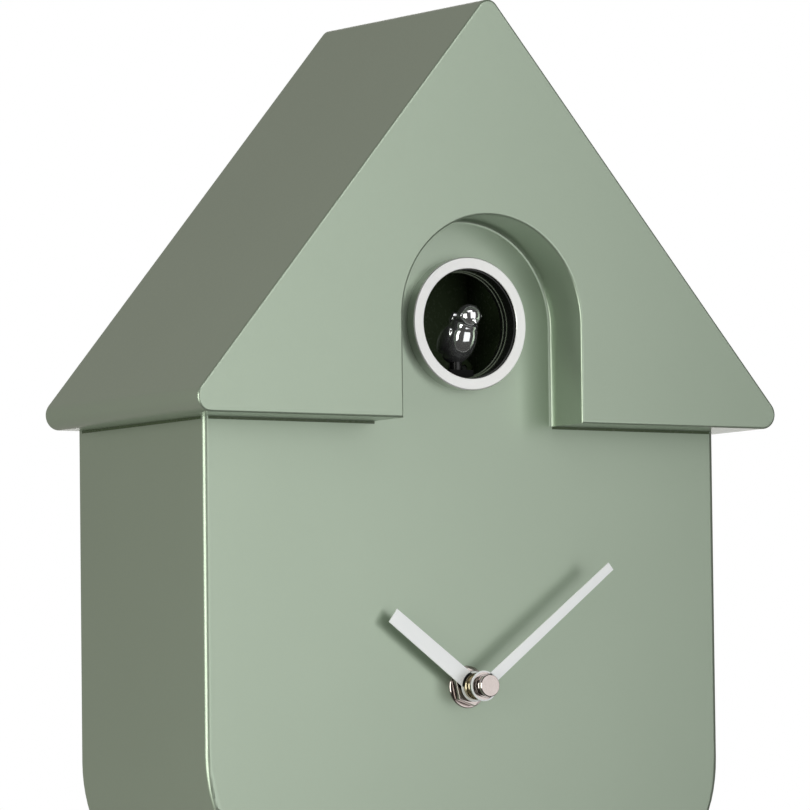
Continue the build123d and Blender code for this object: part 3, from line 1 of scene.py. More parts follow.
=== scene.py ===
# %% [markdown]
# # A cuckoo clock shaped like a small house
# The real clock is a moulded ABS house, sprayed with a satin metallic lacquer. An arched niche in its
# gable holds a round window with a chromed bird, and two hands turn on a small quartz movement. All
# of it could be modelled again here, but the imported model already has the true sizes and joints. So
# it is loaded as a fixed frame, each piece below is placed from its sizes, and only what the eye
# meets first is made anew.

import json
from math import cos, pi, radians, sin

import bmesh
import bpy
from mathutils import Matrix, Vector


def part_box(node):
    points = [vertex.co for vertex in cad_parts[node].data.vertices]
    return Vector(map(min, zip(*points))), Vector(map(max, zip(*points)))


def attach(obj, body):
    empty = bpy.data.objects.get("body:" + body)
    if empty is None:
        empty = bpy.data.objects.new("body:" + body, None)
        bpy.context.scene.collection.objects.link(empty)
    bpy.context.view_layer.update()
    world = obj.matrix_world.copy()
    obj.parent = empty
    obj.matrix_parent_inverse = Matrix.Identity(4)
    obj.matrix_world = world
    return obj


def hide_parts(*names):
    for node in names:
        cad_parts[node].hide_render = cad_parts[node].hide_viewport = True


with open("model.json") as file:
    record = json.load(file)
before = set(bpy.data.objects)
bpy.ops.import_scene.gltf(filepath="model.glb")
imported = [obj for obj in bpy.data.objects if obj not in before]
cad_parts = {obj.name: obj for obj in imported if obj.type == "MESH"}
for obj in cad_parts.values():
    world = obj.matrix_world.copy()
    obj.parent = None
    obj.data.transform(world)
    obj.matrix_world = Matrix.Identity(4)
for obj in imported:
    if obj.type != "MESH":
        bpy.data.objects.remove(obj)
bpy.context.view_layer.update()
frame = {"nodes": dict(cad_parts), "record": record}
print("pieces in the frame:", len(frame["nodes"]))

# %% [markdown]
# ## Sizes
# Blender counts in metres, and a clock is easier to think of in millimetres. Places could be typed
# in, but then they would drift from the model. So the boxes of a few known pieces are read, and the
# window, the face and the hands' arbor are found from them.

# %% Where things are, in millimetres
MM = 0.001


def place_of(node):
    """The lowest and highest corner of a node in millimetres."""
    low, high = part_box(node)
    return Vector(low) / MM, Vector(high) / MM


bezel_low, bezel_high = place_of("window_bezel")
washer_low, washer_high = place_of("bush_washer")
window_z = (bezel_low.z + bezel_high.z) / 2
bezel_front = bezel_low.y
face_y = washer_high.y
arbor_z = (washer_low.z + washer_high.z) / 2
print("window height", round(window_z, 2))
print("face depth", round(face_y, 2), "and arbor height", round(arbor_z, 2))

# %% [markdown]
# ## Tools for materials
# Colours could be typed as the linear values that Blender mixes, but nobody can read those. So each
# is written as the sRGB code that a paint shop would give, and one function turns it to linear.
# Another adds a node with its values and links, which keeps a material as short as its recipe.
# Patterns read Object coordinates, which are metres here and stay fixed to a piece when it moves, so
# a pattern of a known size in millimetres needs a scale of 1000 over that size.


# %% Colour, node and pattern size
def colour(code):
    """Turns an sRGB hex code into a linear colour."""
    parts = [int(code[i : i + 2], 16) / 255 for i in (1, 3, 5)]
    linear = [c / 12.92 if c <= 0.04045 else ((c + 0.055) / 1.055) ** 2.4 for c in parts]
    return (*linear, 1.0)


def add_node(material, kind, inputs=(), links=(), **properties):
    """Adds a node to a material or world, with its properties, input values and incoming links."""
    node = material.node_tree.nodes.new(kind)
    for name, value in properties.items():
        setattr(node, name, value)
    for name, value in dict(inputs).items():
        node.inputs[name].default_value = value
    for name, source in dict(links).items():
        material.node_tree.links.new(node.inputs[name], source)
    return node


def scale_for(size_mm):
    """The texture scale that gives a pattern of this size in millimetres."""
    return 1.0 / (size_mm * MM)


print("a 2 mm grain has a scale of", scale_for(2))


# %% [markdown]
# ## One recipe for every finish
# Moulded and sprayed surfaces are never one flat colour: pigment clouds a little over centimetres,
# and the mould's or spray's grain shows in the gloss. A painted picture could hold that, but it has
# an edge and one resolution, while noise has neither. This function gives a finish its three layers:
# clouds in the colour, a fine grain in the roughness, and the same grain as a shallow bump.


# %% A finish with clouds and grain
plastic_ior = 1.46


def finish(name, tones, cloud_mm, grain_mm, gloss, grain_depth_mm, metallic=0.0):
    """Makes a material. tones are two hex codes, gloss the lowest and highest roughness. A metal
    keeps the shader's own index of refraction."""
    material = bpy.data.materials.new(name)
    material.use_nodes = True
    shader = material.node_tree.nodes["Principled BSDF"]
    shader.inputs["Metallic"].default_value = metallic
    if metallic < 0.5:
        shader.inputs["IOR"].default_value = plastic_ior
    place = add_node(material, "ShaderNodeTexCoord").outputs["Object"]
    clouds = add_node(
        material, "ShaderNodeTexNoise", {"Scale": scale_for(cloud_mm), "Detail": 3.0}, {"Vector": place}
    )
    # Sockets 6 and 7 are the Mix node's two colours. Its number sockets come before them.
    tone = add_node(
        material,
        "ShaderNodeMix",
        {6: colour(tones[0]), 7: colour(tones[1])},
        {"Factor": clouds.outputs["Fac"]},
        data_type="RGBA",
    )
    grain = add_node(
        material, "ShaderNodeTexNoise", {"Scale": scale_for(grain_mm), "Detail": 2.0}, {"Vector": place}
    )
    # Noise keeps mostly between 0.3 and 0.7, so that span is stretched over the whole gloss.
    sheen = add_node(
        material,
        "ShaderNodeMapRange",
        {"From Min": 0.3, "From Max": 0.7, "To Min": gloss[0], "To Max": gloss[1]},
        {"Value": grain.outputs["Fac"]},
    )
    bump = add_node(
        material,
        "ShaderNodeBump",
        {"Strength": 1.0, "Distance": grain_depth_mm * MM},
        {"Height": grain.outputs["Fac"]},
    )
    links = material.node_tree.links
    links.new(shader.inputs["Base Color"], tone.outputs[2])
    links.new(shader.inputs["Roughness"], sheen.outputs["Result"])
    links.new(shader.inputs["Normal"], bump.outputs["Normal"])
    return material


# %% [markdown]
# ## The case: satin metallic lacquer on ABS
# The house is sprayed sage green with a little aluminium flake, so its faces glow softly and its
# rounded edges catch a bright line. It could be a plain satin plastic, but then the edges stay dull.
# It could be a pure metal, but then its sides turn black where nothing bright is mirrored. A mostly
# metallic base under a thin satin coat has both: the base glows, and the coat draws the edges. Real
# flake is finer than the 0.7 mm grain here, which is this coarse so that it shows.

# %% Sage lacquer
# To the eye: a soft, even sage green that brightens towards the light, with a pale line on each edge.
lacquer = finish(
    "satin_metallic_sage_lacquer",
    tones=("#a4b3a0", "#a9b8a5"),
    cloud_mm=60,
    grain_mm=0.7,
    gloss=(0.34, 0.4),
    grain_depth_mm=0.0015,
    metallic=0.75,
)
lacquer_shader = lacquer.node_tree.nodes["Principled BSDF"]
lacquer_shader.inputs["Coat Weight"].default_value = 0.5
lacquer_shader.inputs["Coat Roughness"].default_value = 0.22
print("made", lacquer.name)

# %% [markdown]
# ## Black plastics
# Each finish from here on starts from what the real piece is made of and how its surface came about.
# Every one could have a network of its own, but they differ only in colour, gloss and grain, so one
# recipe with other numbers is easier to tune. Real black plastic is a very dark grey, so none of
# these is pure black, and it is mostly their gloss that tells them apart.

# %% Black plastics
# Spark-eroded black ABS: a matt skin whose grain breaks every glint into soft specks.
back_plastic = finish(
    "matt_black_textured_ABS",
    tones=("#272827", "#323332"),
    cloud_mm=20,
    grain_mm=0.9,
    gloss=(0.45, 0.65),
    grain_depth_mm=0.05,
)
# Black acetal: almost no shine, so the arm sinks into the dark of the nest.
matt_black = finish(
    "matt_black_acetal",
    tones=("#0e0e0e", "#151515"),
    cloud_mm=6,
    grain_mm=0.4,
    gloss=(0.6, 0.75),
    grain_depth_mm=0.004,
)
matt_black.node_tree.nodes["Principled BSDF"].inputs["Specular IOR Level"].default_value = 0.15
# Polished black ABS: dark, with small bright glints on its rounded edges.
black_plastic = finish(
    "gloss_black_moulded_ABS",
    tones=("#101110", "#191a19"),
    cloud_mm=12,
    grain_mm=0.9,
    gloss=(0.22, 0.34),
    grain_depth_mm=0.003,
)
print("made", [material.name for material in (back_plastic, matt_black, black_plastic)])

# %% [markdown]
# ## Green and white plastics
# The nest is bare ABS, coloured through before it is moulded, and its smoke green also paints the
# shade under the eaves. The gears and the drive's bracket are natural acetal, which runs quietly
# without oil. Subsurface light would make the acetal waxier, but no gear is seen closely enough for
# it, so a warm white is enough.

# %% Green and white plastics
# Bare green ABS: a dull mid green where a step catches light inside the dark tube.
green_edge = finish(
    "moulded_green_ABS",
    tones=("#59654f", "#636f59"),
    cloud_mm=10,
    grain_mm=0.8,
    gloss=(0.3, 0.4),
    grain_depth_mm=0.001,
)
# Smoke-green ABS with some gloss: nearly black in shade, and green only where light falls in.
# The same finish paints the shade in the corner under the eaves.
dark_plastic = finish(
    "smoke_green_gloss_ABS",
    tones=("#414f36", "#4c5c40"),
    cloud_mm=15,
    grain_mm=1.2,
    gloss=(0.2, 0.3),
    grain_depth_mm=0.002,
)
# Natural acetal: a warm, slightly waxy white, as on clock gears.
white_plastic = finish(
    "natural_acetal",
    tones=("#e2dfd4", "#efece2"),
    cloud_mm=8,
    grain_mm=0.5,
    gloss=(0.32, 0.42),
    grain_depth_mm=0.003,
)
print("made", [material.name for material in (green_edge, dark_plastic, white_plastic)])

# %% [markdown]
# ## Rubber, paper and ferrite
# The gasket is moulded rubber, the loudspeaker's cone is felted paper and its magnet is sintered
# powder. A sheen layer could give the paper its fibres, but at this size they would not show. What
# they share is that they scatter light, so a high roughness and a deeper grain are enough.

# %% Rubber, paper and ferrite
# Nitrile rubber: black and dull, with no clear reflection at all.
rubber = finish(
    "moulded_nitrile_rubber",
    tones=("#161616", "#202020"),
    cloud_mm=6,
    grain_mm=0.4,
    gloss=(0.7, 0.85),
    grain_depth_mm=0.01,
)
# Pressed cone paper: a dry, fibrous dark grey that scatters all light.
paper = finish(
    "pressed_black_cone_paper",
    tones=("#1a1a19", "#2b2a28"),
    cloud_mm=3,
    grain_mm=0.35,
    gloss=(0.8, 0.95),
    grain_depth_mm=0.03,
)
# Sintered ferrite: charcoal grey with the dry sparkle of pressed powder.
ferrite = finish(
    "sintered_ferrite",
    tones=("#2b2b2c", "#3a3a3b"),
    cloud_mm=2,
    grain_mm=0.3,
    gloss=(0.5, 0.65),
    grain_depth_mm=0.01,
)
print("made", [material.name for material in (rubber, paper, ferrite)])

# %% [markdown]
# ## Silver and chrome on plastic
# The window's ring, its sides and the bird are ABS under a thin layer of metal, sprayed or plated.
# Full metal everywhere would be simplest, but it mirrors the dark side of the room. So the ring's
# lacquer is only part metal, which keeps its front light, and the bird's plate is a hair short of a
# perfect mirror, which keeps its shaded side grey and not black.

# %% Silver and chrome on plastic
# Silver lacquer over ABS: a bright, even front that stays light without mirroring.
silver_trim = finish(
    "satin_silver_lacquer",
    tones=("#eff0ef", "#f5f5f3"),
    cloud_mm=18,
    grain_mm=0.7,
    gloss=(0.3, 0.38),
    grain_depth_mm=0.001,
    metallic=0.6,
)
# Chrome on moulded ABS: a mirror with hard white patches and a faint grey bloom on its dark side.
chrome = finish(
    "bright_chrome_plate",
    tones=("#d6d8da", "#e6e8ea"),
    cloud_mm=4,
    grain_mm=0.8,
    gloss=(0.06, 0.1),
    grain_depth_mm=0.0004,
    metallic=0.93,
)
# Smoked chrome: a darker, softer mirror that draws the ring's side as one grey band.
smoked_chrome = finish(
    "smoked_chrome_plate",
    tones=("#aeb2ab", "#babeb7"),
    cloud_mm=4,
    grain_mm=0.8,
    gloss=(0.1, 0.16),
    grain_depth_mm=0.0004,
    metallic=1.0,
)
print("made", [material.name for material in (silver_trim, chrome, smoked_chrome)])

# %% [markdown]
# ## Steel, brass and nickel
# Screws, shafts and contacts are zinc-plated steel. The bush, the hour hand's collet and the pinion
# are turned brass, and the nut, washer and cap are brass under nickel. An anisotropic shader could
# draw each turning mark as a streak, but these pieces are a few millimetres wide. A fine grain in
# the gloss breaks their glints just as well.

# %% Steel, brass and nickel
# Zinc-plated steel: cool grey with soft, slightly cloudy glints.
steel = finish(
    "zinc_plated_steel",
    tones=("#a9adb0", "#c2c4c2"),
    cloud_mm=3,
    grain_mm=0.3,
    gloss=(0.26, 0.4),
    grain_depth_mm=0.002,
    metallic=1.0,
)
# Turned brass: a dull gold whose fine turning marks soften each glint.
brass = finish(
    "turned_brass",
    tones=("#aa9f84", "#c2b89c"),
    cloud_mm=3,
    grain_mm=0.3,
    gloss=(0.18, 0.3),
    grain_depth_mm=0.001,
    metallic=1.0,
)
# Nickel on brass: a faintly pink silver that mirrors its surroundings a little blurred.
nickel = finish(
    "nickel_plated_brass",
    tones=("#b0a6a2", "#beb5b1"),
    cloud_mm=3,
    grain_mm=0.3,
    gloss=(0.08, 0.16),
    grain_depth_mm=0.001,
    metallic=1.0,
)
print("made", [material.name for material in (steel, brass, nickel)])

# %% [markdown]
# ## Enamel on metal
# The coil is wound from copper wire under clear enamel, and the hands are aluminium with a stoved
# silver-white one. Two layers could be mixed, metal below and varnish above, but enamel this thin
# only takes some of the metal's mirror away. So each is one surface that is partly metal.

# %% Enamel on metal
# Enamelled copper wire: deep orange-brown with the gloss of its varnish.
copper = finish(
    "enamelled_copper_wire",
    tones=("#8f4a22", "#b5652f"),
    cloud_mm=1.5,
    grain_mm=0.2,
    gloss=(0.25, 0.4),
    grain_depth_mm=0.02,
    metallic=0.8,
)
# Silver-white stoved enamel: flat and light, so the hands read clearly on the green.
hand_paint = finish(
    "silver_stoved_enamel",
    tones=("#eff2f3", "#f4f6f6"),
    cloud_mm=6,
    grain_mm=0.4,
    gloss=(0.35, 0.45),
    grain_depth_mm=0.001,
    metallic=0.35,
)
print("made", [material.name for material in (copper, hand_paint)])

# %% [markdown]
# ## Boards and cells
# A circuit board is glass cloth under a green solder mask, and a dry cell has a jacket of printed
# steel. A picture of a label would be quickest, but then the file would need it. Both start as a
# plain finish here, and the next step mixes their tracks and bands over it.

# %% Boards and cells
# Solder mask over copper: a dark glassy green.
solder_mask = finish(
    "green_solder_mask",
    tones=("#12402a", "#1b5236"),
    cloud_mm=3,
    grain_mm=0.5,
    gloss=(0.25, 0.4),
    grain_depth_mm=0.01,
)
# Printed steel: a dark blue metallic jacket with one long soft highlight. The clock's own cell lies
# down and the sound cells stand, so their bands need two materials with the same print.
cell_print = {
    "tones": ("#1c2a3a", "#24354a"),
    "cloud_mm": 10,
    "grain_mm": 0.5,
    "gloss": (0.25, 0.35),
    "grain_depth_mm": 0.001,
    "metallic": 0.5,
}
cell_jacket = finish("printed_steel_cell_jacket", **cell_print)
lying_jacket = finish("printed_steel_clock_cell", **cell_print)
print("made", [material.name for material in (solder_mask, cell_jacket, lying_jacket)])

# %% [markdown]
# ## Bands, tracks and rings
# Three of these carry a pattern of their own. A dry cell's jacket has a copper-coloured band at its
# plus end, a board's tracks show through its mask, and a pressed paper cone has stiffening rings.
# The bands could be separate sleeves, but they are print and have no thickness. So a second colour is
# mixed over the finish where a factor is one, and the factor is worked out from the place.


# %% A second colour over a finish
def second_tone(material, code, factor):
    """Mixes a second colour over a finish's own where a factor is high."""
    links = material.node_tree.links
    base_colour = material.node_tree.nodes["Principled BSDF"].inputs["Base Color"]
    own = base_colour.links[0].from_socket
    mixed = add_node(
        material, "ShaderNodeMix", {7: colour(code)}, {"Factor": factor, 6: own}, data_type="RGBA"
    )
    links.new(base_colour, mixed.outputs[2])


def object_place(material):
    """The Object coordinate, whole and split into its axes."""
    place = add_node(material, "ShaderNodeTexCoord").outputs["Object"]
    return place, add_node(material, "ShaderNodeSeparateXYZ", (), {"Vector": place}).outputs


# %% The clock's own cell, which lies with its plus end to the right
band_width = 14.0
band_copper = "#a8703c"
lying_end = place_of("clock_cell")[1].x
lying_axes = object_place(lying_jacket)[1]
lying_band = add_node(
    lying_jacket,
    "ShaderNodeMath",
    {1: (lying_end - band_width) * MM},
    {0: lying_axes["X"]},
    operation="GREATER_THAN",
)
second_tone(lying_jacket, band_copper, lying_band.outputs[0])
print("band starts at", round(lying_end - band_width, 1))

# %% The two sound cells, which stand head to tail
bay_low, bay_high = place_of("sound_cells")
bay_middle = (bay_low + bay_high) / 2
bay_axes = object_place(cell_jacket)[1]
# Seen from the front, the left cell has its plus end up and the right one down. The height above the
# middle changes its sign between them, so that one comparison finds both bands.
on_left = add_node(
    cell_jacket, "ShaderNodeMath", {1: bay_middle.x * MM}, {0: bay_axes["X"]}, operation="LESS_THAN"
)
way_up = add_node(
    cell_jacket, "ShaderNodeMapRange", {"To Min": -1.0, "To Max": 1.0}, {"Value": on_left.outputs[0]}
)
above_middle = add_node(
    cell_jacket, "ShaderNodeMath", {1: bay_middle.z * MM}, {0: bay_axes["Z"]}, operation="SUBTRACT"
)
towards_plus = add_node(
    cell_jacket,
    "ShaderNodeMath",
    (),
    {0: way_up.outputs["Result"], 1: above_middle.outputs[0]},
    operation="MULTIPLY",
)
half_cell = (bay_high.z - bay_low.z) / 2
standing_band = add_node(
    cell_jacket,
    "ShaderNodeMath",
    {1: (half_cell - band_width) * MM},
    {0: towards_plus.outputs[0]},
    operation="GREATER_THAN",
)
second_tone(cell_jacket, band_copper, standing_band.outputs[0])
print("sound cells are", round(2 * half_cell, 1), "mm long")

# %% Tracks on the boards, as the joints of a brick pattern laid on the board's face
track_spacing, track_length, track_half_width = 1.4, 5.0, 0.12
board_place = object_place(solder_mask)[0]
board_face = add_node(
    solder_mask, "ShaderNodeMapping", {"Rotation": (-pi / 2, 0, 0)}, {"Vector": board_place}
)
tracks = add_node(
    solder_mask,
    "ShaderNodeTexBrick",
    {
        "Scale": scale_for(1),
        "Brick Width": track_length,
        "Row Height": track_spacing,
        "Mortar Size": track_half_width,
    },
    {"Vector": board_face.outputs["Vector"]},
)
second_tone(solder_mask, "#3b8f5d", tracks.outputs["Fac"])
print("tracks every", track_spacing, "mm")

# %% Rings pressed into the cone
ring_spacing, ring_depth = 2.2, 0.2
cone_low, cone_high = place_of("speaker_cone")
cone_middle = (cone_low + cone_high) / 2
centred = add_node(
    paper, "ShaderNodeMapping", {"Location": -cone_middle * MM}, {"Vector": object_place(paper)[0]}
)
# A wave texture makes one ring for each pi / 10 of its scaled distance.
rings = add_node(
    paper,
    "ShaderNodeTexWave",
    {"Scale": pi / 10 / (ring_spacing * MM)},
    {"Vector": centred.outputs["Vector"]},
    wave_type="RINGS",
    rings_direction="Y",
)
pressed = add_node(
    paper,
    "ShaderNodeBump",
    {"Strength": 1.0, "Distance": ring_depth * MM},
    {"Height": rings.outputs["Fac"]},
)
paper_grain = paper.node_tree.nodes["Bump"]
paper.node_tree.links.new(paper_grain.inputs["Normal"], pressed.outputs["Normal"])
print("cone rings every", ring_spacing, "mm")

# %% [markdown]
# ## Painting the frame
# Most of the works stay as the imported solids, whose shapes are right, and only want a finish. They
# could be painted one by one, but the record already names a slot for every piece, so one table from
# slot to finish paints them all. The clock's own cell gets its own jacket afterwards.

# %% Paint the frame's nodes
slot_finishes = {
    "case_plastic": lacquer,
    "back_plastic": back_plastic,
    "bezel_plastic": silver_trim,
    "dark_plastic": dark_plastic,
    "black_plastic": black_plastic,
    "white_plastic": white_plastic,
    "bird_chrome": chrome,
    "steel": steel,
    "brass": brass,
    "nickel": nickel,
    "hand_paint": hand_paint,
    "rubber": rubber,
    "coil_copper": copper,
    "board": solder_mask,
    "cell_jacket": cell_jacket,
    "magnet": ferrite,
    "cone_paper": paper,
}
for part in frame["record"]["subparts"]:
    node = frame["nodes"][part["node"]]
    if not node.material_slots:
        node.data.materials.append(None)
    for material_slot in node.material_slots:
        material_slot.material = slot_finishes[part["material_slot"]]
for material_slot in frame["nodes"]["clock_cell"].material_slots:
    material_slot.material = lying_jacket

# %% [markdown]
# ## From a shape to a piece
# A bmesh is only a shape. To be a piece of the clock it needs a mesh, an object, a material, and the
# body that it moves with. That could be written out for every piece, but it is the same each time,
# so one function does it. It also shades the shape smooth, except where its edges are sharp on the
# real piece.


# %% Make an object
def make_object(shape, name, material, body, stands_for, sharp):
    """Turns a shape in metres into an object that rides on a body, and is smooth between its edges
    that are sharper than an angle."""
    for edge in shape.edges:
        edge.smooth = edge.calc_face_angle(0.0) < radians(sharp)
    for face in shape.faces:
        face.smooth = True
    mesh = bpy.data.meshes.new(name)
    shape.to_mesh(mesh)
    shape.free()
    mesh.materials.append(material)
    piece = bpy.data.objects.new(name, mesh)
    bpy.context.scene.collection.objects.link(piece)
    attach(piece, body)
    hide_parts(stands_for)
    print(name, "faces", len(mesh.polygons))
    return piece


# %% [markdown]
# ## The two shells
# The house is two mouldings with small rounded edges. They could be modelled again from outlines,
# but the solids already have the shape, and only their shading is wrong: they are loose triangles,
# so each edge would look faceted. A merged copy can be shaded smooth over its rounded edges, and a
# Weighted Normal modifier keeps its large faces flat beside them.


# %% A merged copy of a node
def keep_flat(piece):
    """Keeps a piece's large faces flat beside its small rounded edges."""
    weighted = piece.modifiers.new("flat_faces", "WEIGHTED_NORMAL")
    weighted.keep_sharp = True


def smooth_copy(node, name, material, body, sharp=30):
    """Replaces a node by a copy with merged corners and smooth rounded edges."""
    shape = bmesh.new()
    shape.from_mesh(frame["nodes"][node].data)
    bmesh.ops.remove_doubles(shape, verts=shape.verts, dist=0.002 * MM)
    piece = make_object(shape, name, material, body, node, sharp)
    keep_flat(piece)
    return piece


smooth_copy("body_shell", "house_body", lacquer, "case")
smooth_copy("roof_shell", "house_roof", lacquer, "case")

# %% [markdown]
# ## Painted shade under the eaves
# The roof is a moulding of its own that sits over the body's top. The dark line where the wall goes
# up under the eaves is the shade in that corner, and here it is painted: a fine dark bar, barely
# proud of the wall, stands on each side. A groove cut with a boolean would break the shell's smooth
# shading. The front's bars stop at the niche, where the wall runs on up.
# A new shape like this one is drawn in millimetres, so it is scaled and its faces are turned out.


# %% Finish a new shape
def finish_piece(shape, name, material, body, stands_for, sharp=35):
    """Turns a new shape in millimetres into a finished object."""
    bmesh.ops.recalc_face_normals(shape, faces=shape.faces)
    bmesh.ops.scale(shape, vec=(MM, MM, MM), verts=shape.verts)
    return make_object(shape, name, material, body, stands_for, sharp)


# %% Bars of painted shade under the eaves
body_high = place_of("body_shell")[1]
eave_z = place_of("roof_shell")[0].z
eaves_shade_height, eaves_shade_proud = 0.9, 0.12
corner_rounding = 1.8
niche_half_width = 34.0


def add_bar(shape, low, high):
    """Adds a box between two corners."""
    matrix = Matrix.Translation((low + high) / 2) @ Matrix.Diagonal((*(high - low), 1.0))
    bmesh.ops.create_cube(shape, size=1.0, matrix=matrix)


# Painted shade: these dark bars stand for the shadow in the corner under the eaves.
eaves_shade = bmesh.new()
eaves_shade_low, eaves_shade_high = eave_z - eaves_shade_height, eave_z
for side in (-1, 1):
    inner, outer = side * niche_half_width, side * (body_high.x - corner_rounding)
    add_bar(
        eaves_shade,
        Vector((min(inner, outer), face_y - eaves_shade_proud, eaves_shade_low)),
        Vector((max(inner, outer), face_y + eaves_shade_proud, eaves_shade_high)),
    )
    wall_x = side * body_high.x
    add_bar(
        eaves_shade,
        Vector((wall_x - eaves_shade_proud, face_y + corner_rounding, eaves_shade_low)),
        Vector((wall_x + eaves_shade_proud, body_high.y - corner_rounding, eaves_shade_high)),
    )
finish_piece(eaves_shade, "painted_eaves_shade", dark_plastic, "case", "body_shell")
print("joint height", eaves_shade_height, "mm at", round(eave_z, 1))

# %% [markdown]
# ## Round pieces
# The window's ring and most of the hands' fixing are round about one axis. Stacked cylinders could
# make them, but they leave faces inside and have no chamfers. So each is half of its section, drawn
# as an outline and spun round the axis, as on a lathe.


# %% Spin an outline
def lathe(outline, centre=(0.0, 0.0), steps=72):
    """Spins an outline of (radius, depth) points round an axis along Y. An outline that starts and
    ends on the axis closes in two poles, and any other is a closed ring."""
    shape = bmesh.new()
    corners = [shape.verts.new((radius, depth, 0.0)) for radius, depth in outline]
    edges = [shape.edges.new(pair) for pair in zip(corners, corners[1:])]
    if outline[0][0] > 0:
        edges.append(shape.edges.new((corners[-1], corners[0])))
    bmesh.ops.spin(
        shape,
        geom=corners + edges,
        cent=(0, 0, 0),
        axis=(0, 1, 0),
        angle=2 * pi,
        steps=steps,
        use_merge=True,
    )
    bmesh.ops.remove_doubles(shape, verts=shape.verts, dist=0.001)
    bmesh.ops.translate(shape, verts=shape.verts, vec=(centre[0], 0, centre[1]))
    return shape


# %% [markdown]
# ## The window's ring
# A flat silver ring with two fine chamfers is pressed over the nest's dark tube, and two small steps
# inside the tube catch a thin line of light each. A torus would be quicker, but it has no flat front
# and no crisp edge. So both are spun from outlines, with 128 steps to keep the large circles round.

# %% Ring
ring_steps = 128
ring_growth, ring_proud = 0.45, 0.6
bezel_width = 3.25
bore_chamfer, rim_chamfer = 0.15, 0.3
bezel_radius = (bezel_high.x - bezel_low.x) / 2
bore_radius = bezel_radius - bezel_width
ring_radius = bezel_radius + ring_growth
ring_front = bezel_front - ring_proud
ring = lathe(
    [
        (bore_radius, face_y),
        (bore_radius, ring_front + bore_chamfer),
        (bore_radius + bore_chamfer, ring_front),
        (ring_radius - rim_chamfer, ring_front),
        (ring_radius, ring_front + rim_chamfer),
        (ring_radius, face_y),
    ],
    (0, window_z),
    ring_steps,
)
window_ring = finish_piece(ring, "window_ring", silver_trim, "case", "window_bezel")

# The lacquer covers the front and its chamfers, so the upright sides show their plating.
window_ring.data.materials.append(smoked_chrome)
for face in window_ring.data.polygons:
    if abs(face.normal.y) < 0.3:
        face.material_index = 1

# %% Dark lining with two steps
lining_radius = bore_radius - 0.05
lip_radius = lining_radius - 0.3
middle_radius = lining_radius - 0.55
deep_radius = lining_radius - 0.8
lip_y, first_step_y, second_step_y = bezel_front + 0.5, bezel_front + 4.6, bezel_front + 6.2
lip_slope, step_slope = 0.05, 0.08
lining = lathe(
    [
        (lip_radius, lip_y),
        (lining_radius, lip_y - lip_slope),
        (lining_radius, bezel_high.y),
        (deep_radius, bezel_high.y),
        (deep_radius, second_step_y),
        (middle_radius, second_step_y - step_slope),
        (middle_radius, first_step_y),
        (lip_radius, first_step_y - step_slope),
    ],
    (0, window_z),
    ring_steps,
)
window_lining = finish_piece(
    lining, "window_lining", black_plastic, "case", "window_bezel"
)

# The two steps are the only faces behind the lip that look forwards, and they are bare green.
window_lining.data.materials.append(green_edge)
for face in window_lining.data.polygons:
    if face.normal.y < -0.9 and face.center.y > (lip_y + first_step_y) / 2 * MM:
        face.material_index = 1

# %% [markdown]
# ## The bird
# The real bird is a small moulded figure with bright chrome plate: an egg-shaped body that leans
# forward, a round head, bulging eyes, a short beak, folded wings and a tail that stands up behind.
# It could be swept in rings, but its forms branch and melt into each other. It could be sculpted,
# but a sculpt can't be changed by a number. So it starts from overlapping round forms, each an
# ellipsoid with a place, three radii and a lean.

# %% Round forms
post_depth = 8.4
post_y = bezel_front + post_depth


def bird_place(ahead, above, x=0.0):
    """A place on the bird: how far ahead of its post and above the window's centre."""
    return Vector((x, post_y - ahead, window_z + above))


def round_form(shape, place, radii, lean=0.0):
    """Adds an ellipsoid with radii across, fore and aft, and up, leaning forward by an angle."""
    turn = Matrix.Rotation(radians(lean), 4, "X")
    matrix = Matrix.Translation(place) @ turn @ Matrix.Diagonal((*radii, 1.0))
    bmesh.ops.create_uvsphere(shape, u_segments=32, v_segments=20, radius=1.0, matrix=matrix)


# In order: body, neck, head, and the tail's root and tip.
bird = bmesh.new()
round_form(bird, bird_place(1.7, -5.1), (5.7, 5.9, 8.3), 40)
round_form(bird, bird_place(5.2, -0.6), (4.5, 4.2, 4.6), 42)
round_form(bird, bird_place(8.1, 2.5), (3.9, 3.9, 3.9))
round_form(bird, bird_place(-1.2, -1.6), (2.0, 1.4, 3.4), -6)
round_form(bird, bird_place(-0.5, 1.6), (1.9, 1.4, 3.0), 12)
print("body, neck, head and tail faces", len(bird.faces))

# %% Eyes, beak and wings
for side in (-1, 1):
    round_form(bird, bird_place(9.0, 2.5, side * 3.4), (1.0, 1.05, 1.05))
    round_form(bird, bird_place(1.0, -4.7, side * 5.0), (1.2, 2.8, 5.2), 45)
beak_root, beak_tip = bird_place(10.9, 1.3), bird_place(12.7, -0.4)
beak_line = (beak_tip - beak_root).to_track_quat("Z", "Y").to_matrix().to_4x4()
bmesh.ops.create_cone(
    bird,
    cap_ends=True,
    segments=24,
    radius1=1.25,
    radius2=0.2,
    depth=(beak_tip - beak_root).length,
    matrix=Matrix.Translation((beak_root + beak_tip) / 2) @ beak_line,
)
print("with eyes, beak and wings", len(bird.faces))

# %% [markdown]
# ## The bird's carriage
# The bird stands on a glossy post at the end of a matt black sliding arm. The arm should sink into
# the dark of the nest, and the post should draw a line under the bird. Two pieces could stand for
# them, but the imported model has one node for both. So a merged copy of it gets both finishes, and
# the faces above the arm take the glossy one.

# %% The carriage that holds the bird
post_foot = 14.3  # below the window's centre
arm_top = (window_z - post_foot) * MM
carriage = smooth_copy("bird_carriage", "bird_carriage_arm", matt_black, "bird_slide")
carriage.data.materials.append(black_plastic)
for face in carriage.data.polygons:
    if face.center.z > arm_top:
        face.material_index = 1

# %% [markdown]
# ## One skin over the bird
# Boolean unions would join the round forms with hard creases, as on a snowman. A voxel Remesh makes
# one closed skin of them instead, and a Smooth modifier rounds its creases, much as thick plate
# does. A voxel of 0.22 mm is about a tenth of an eye, which is fine enough to keep it round.

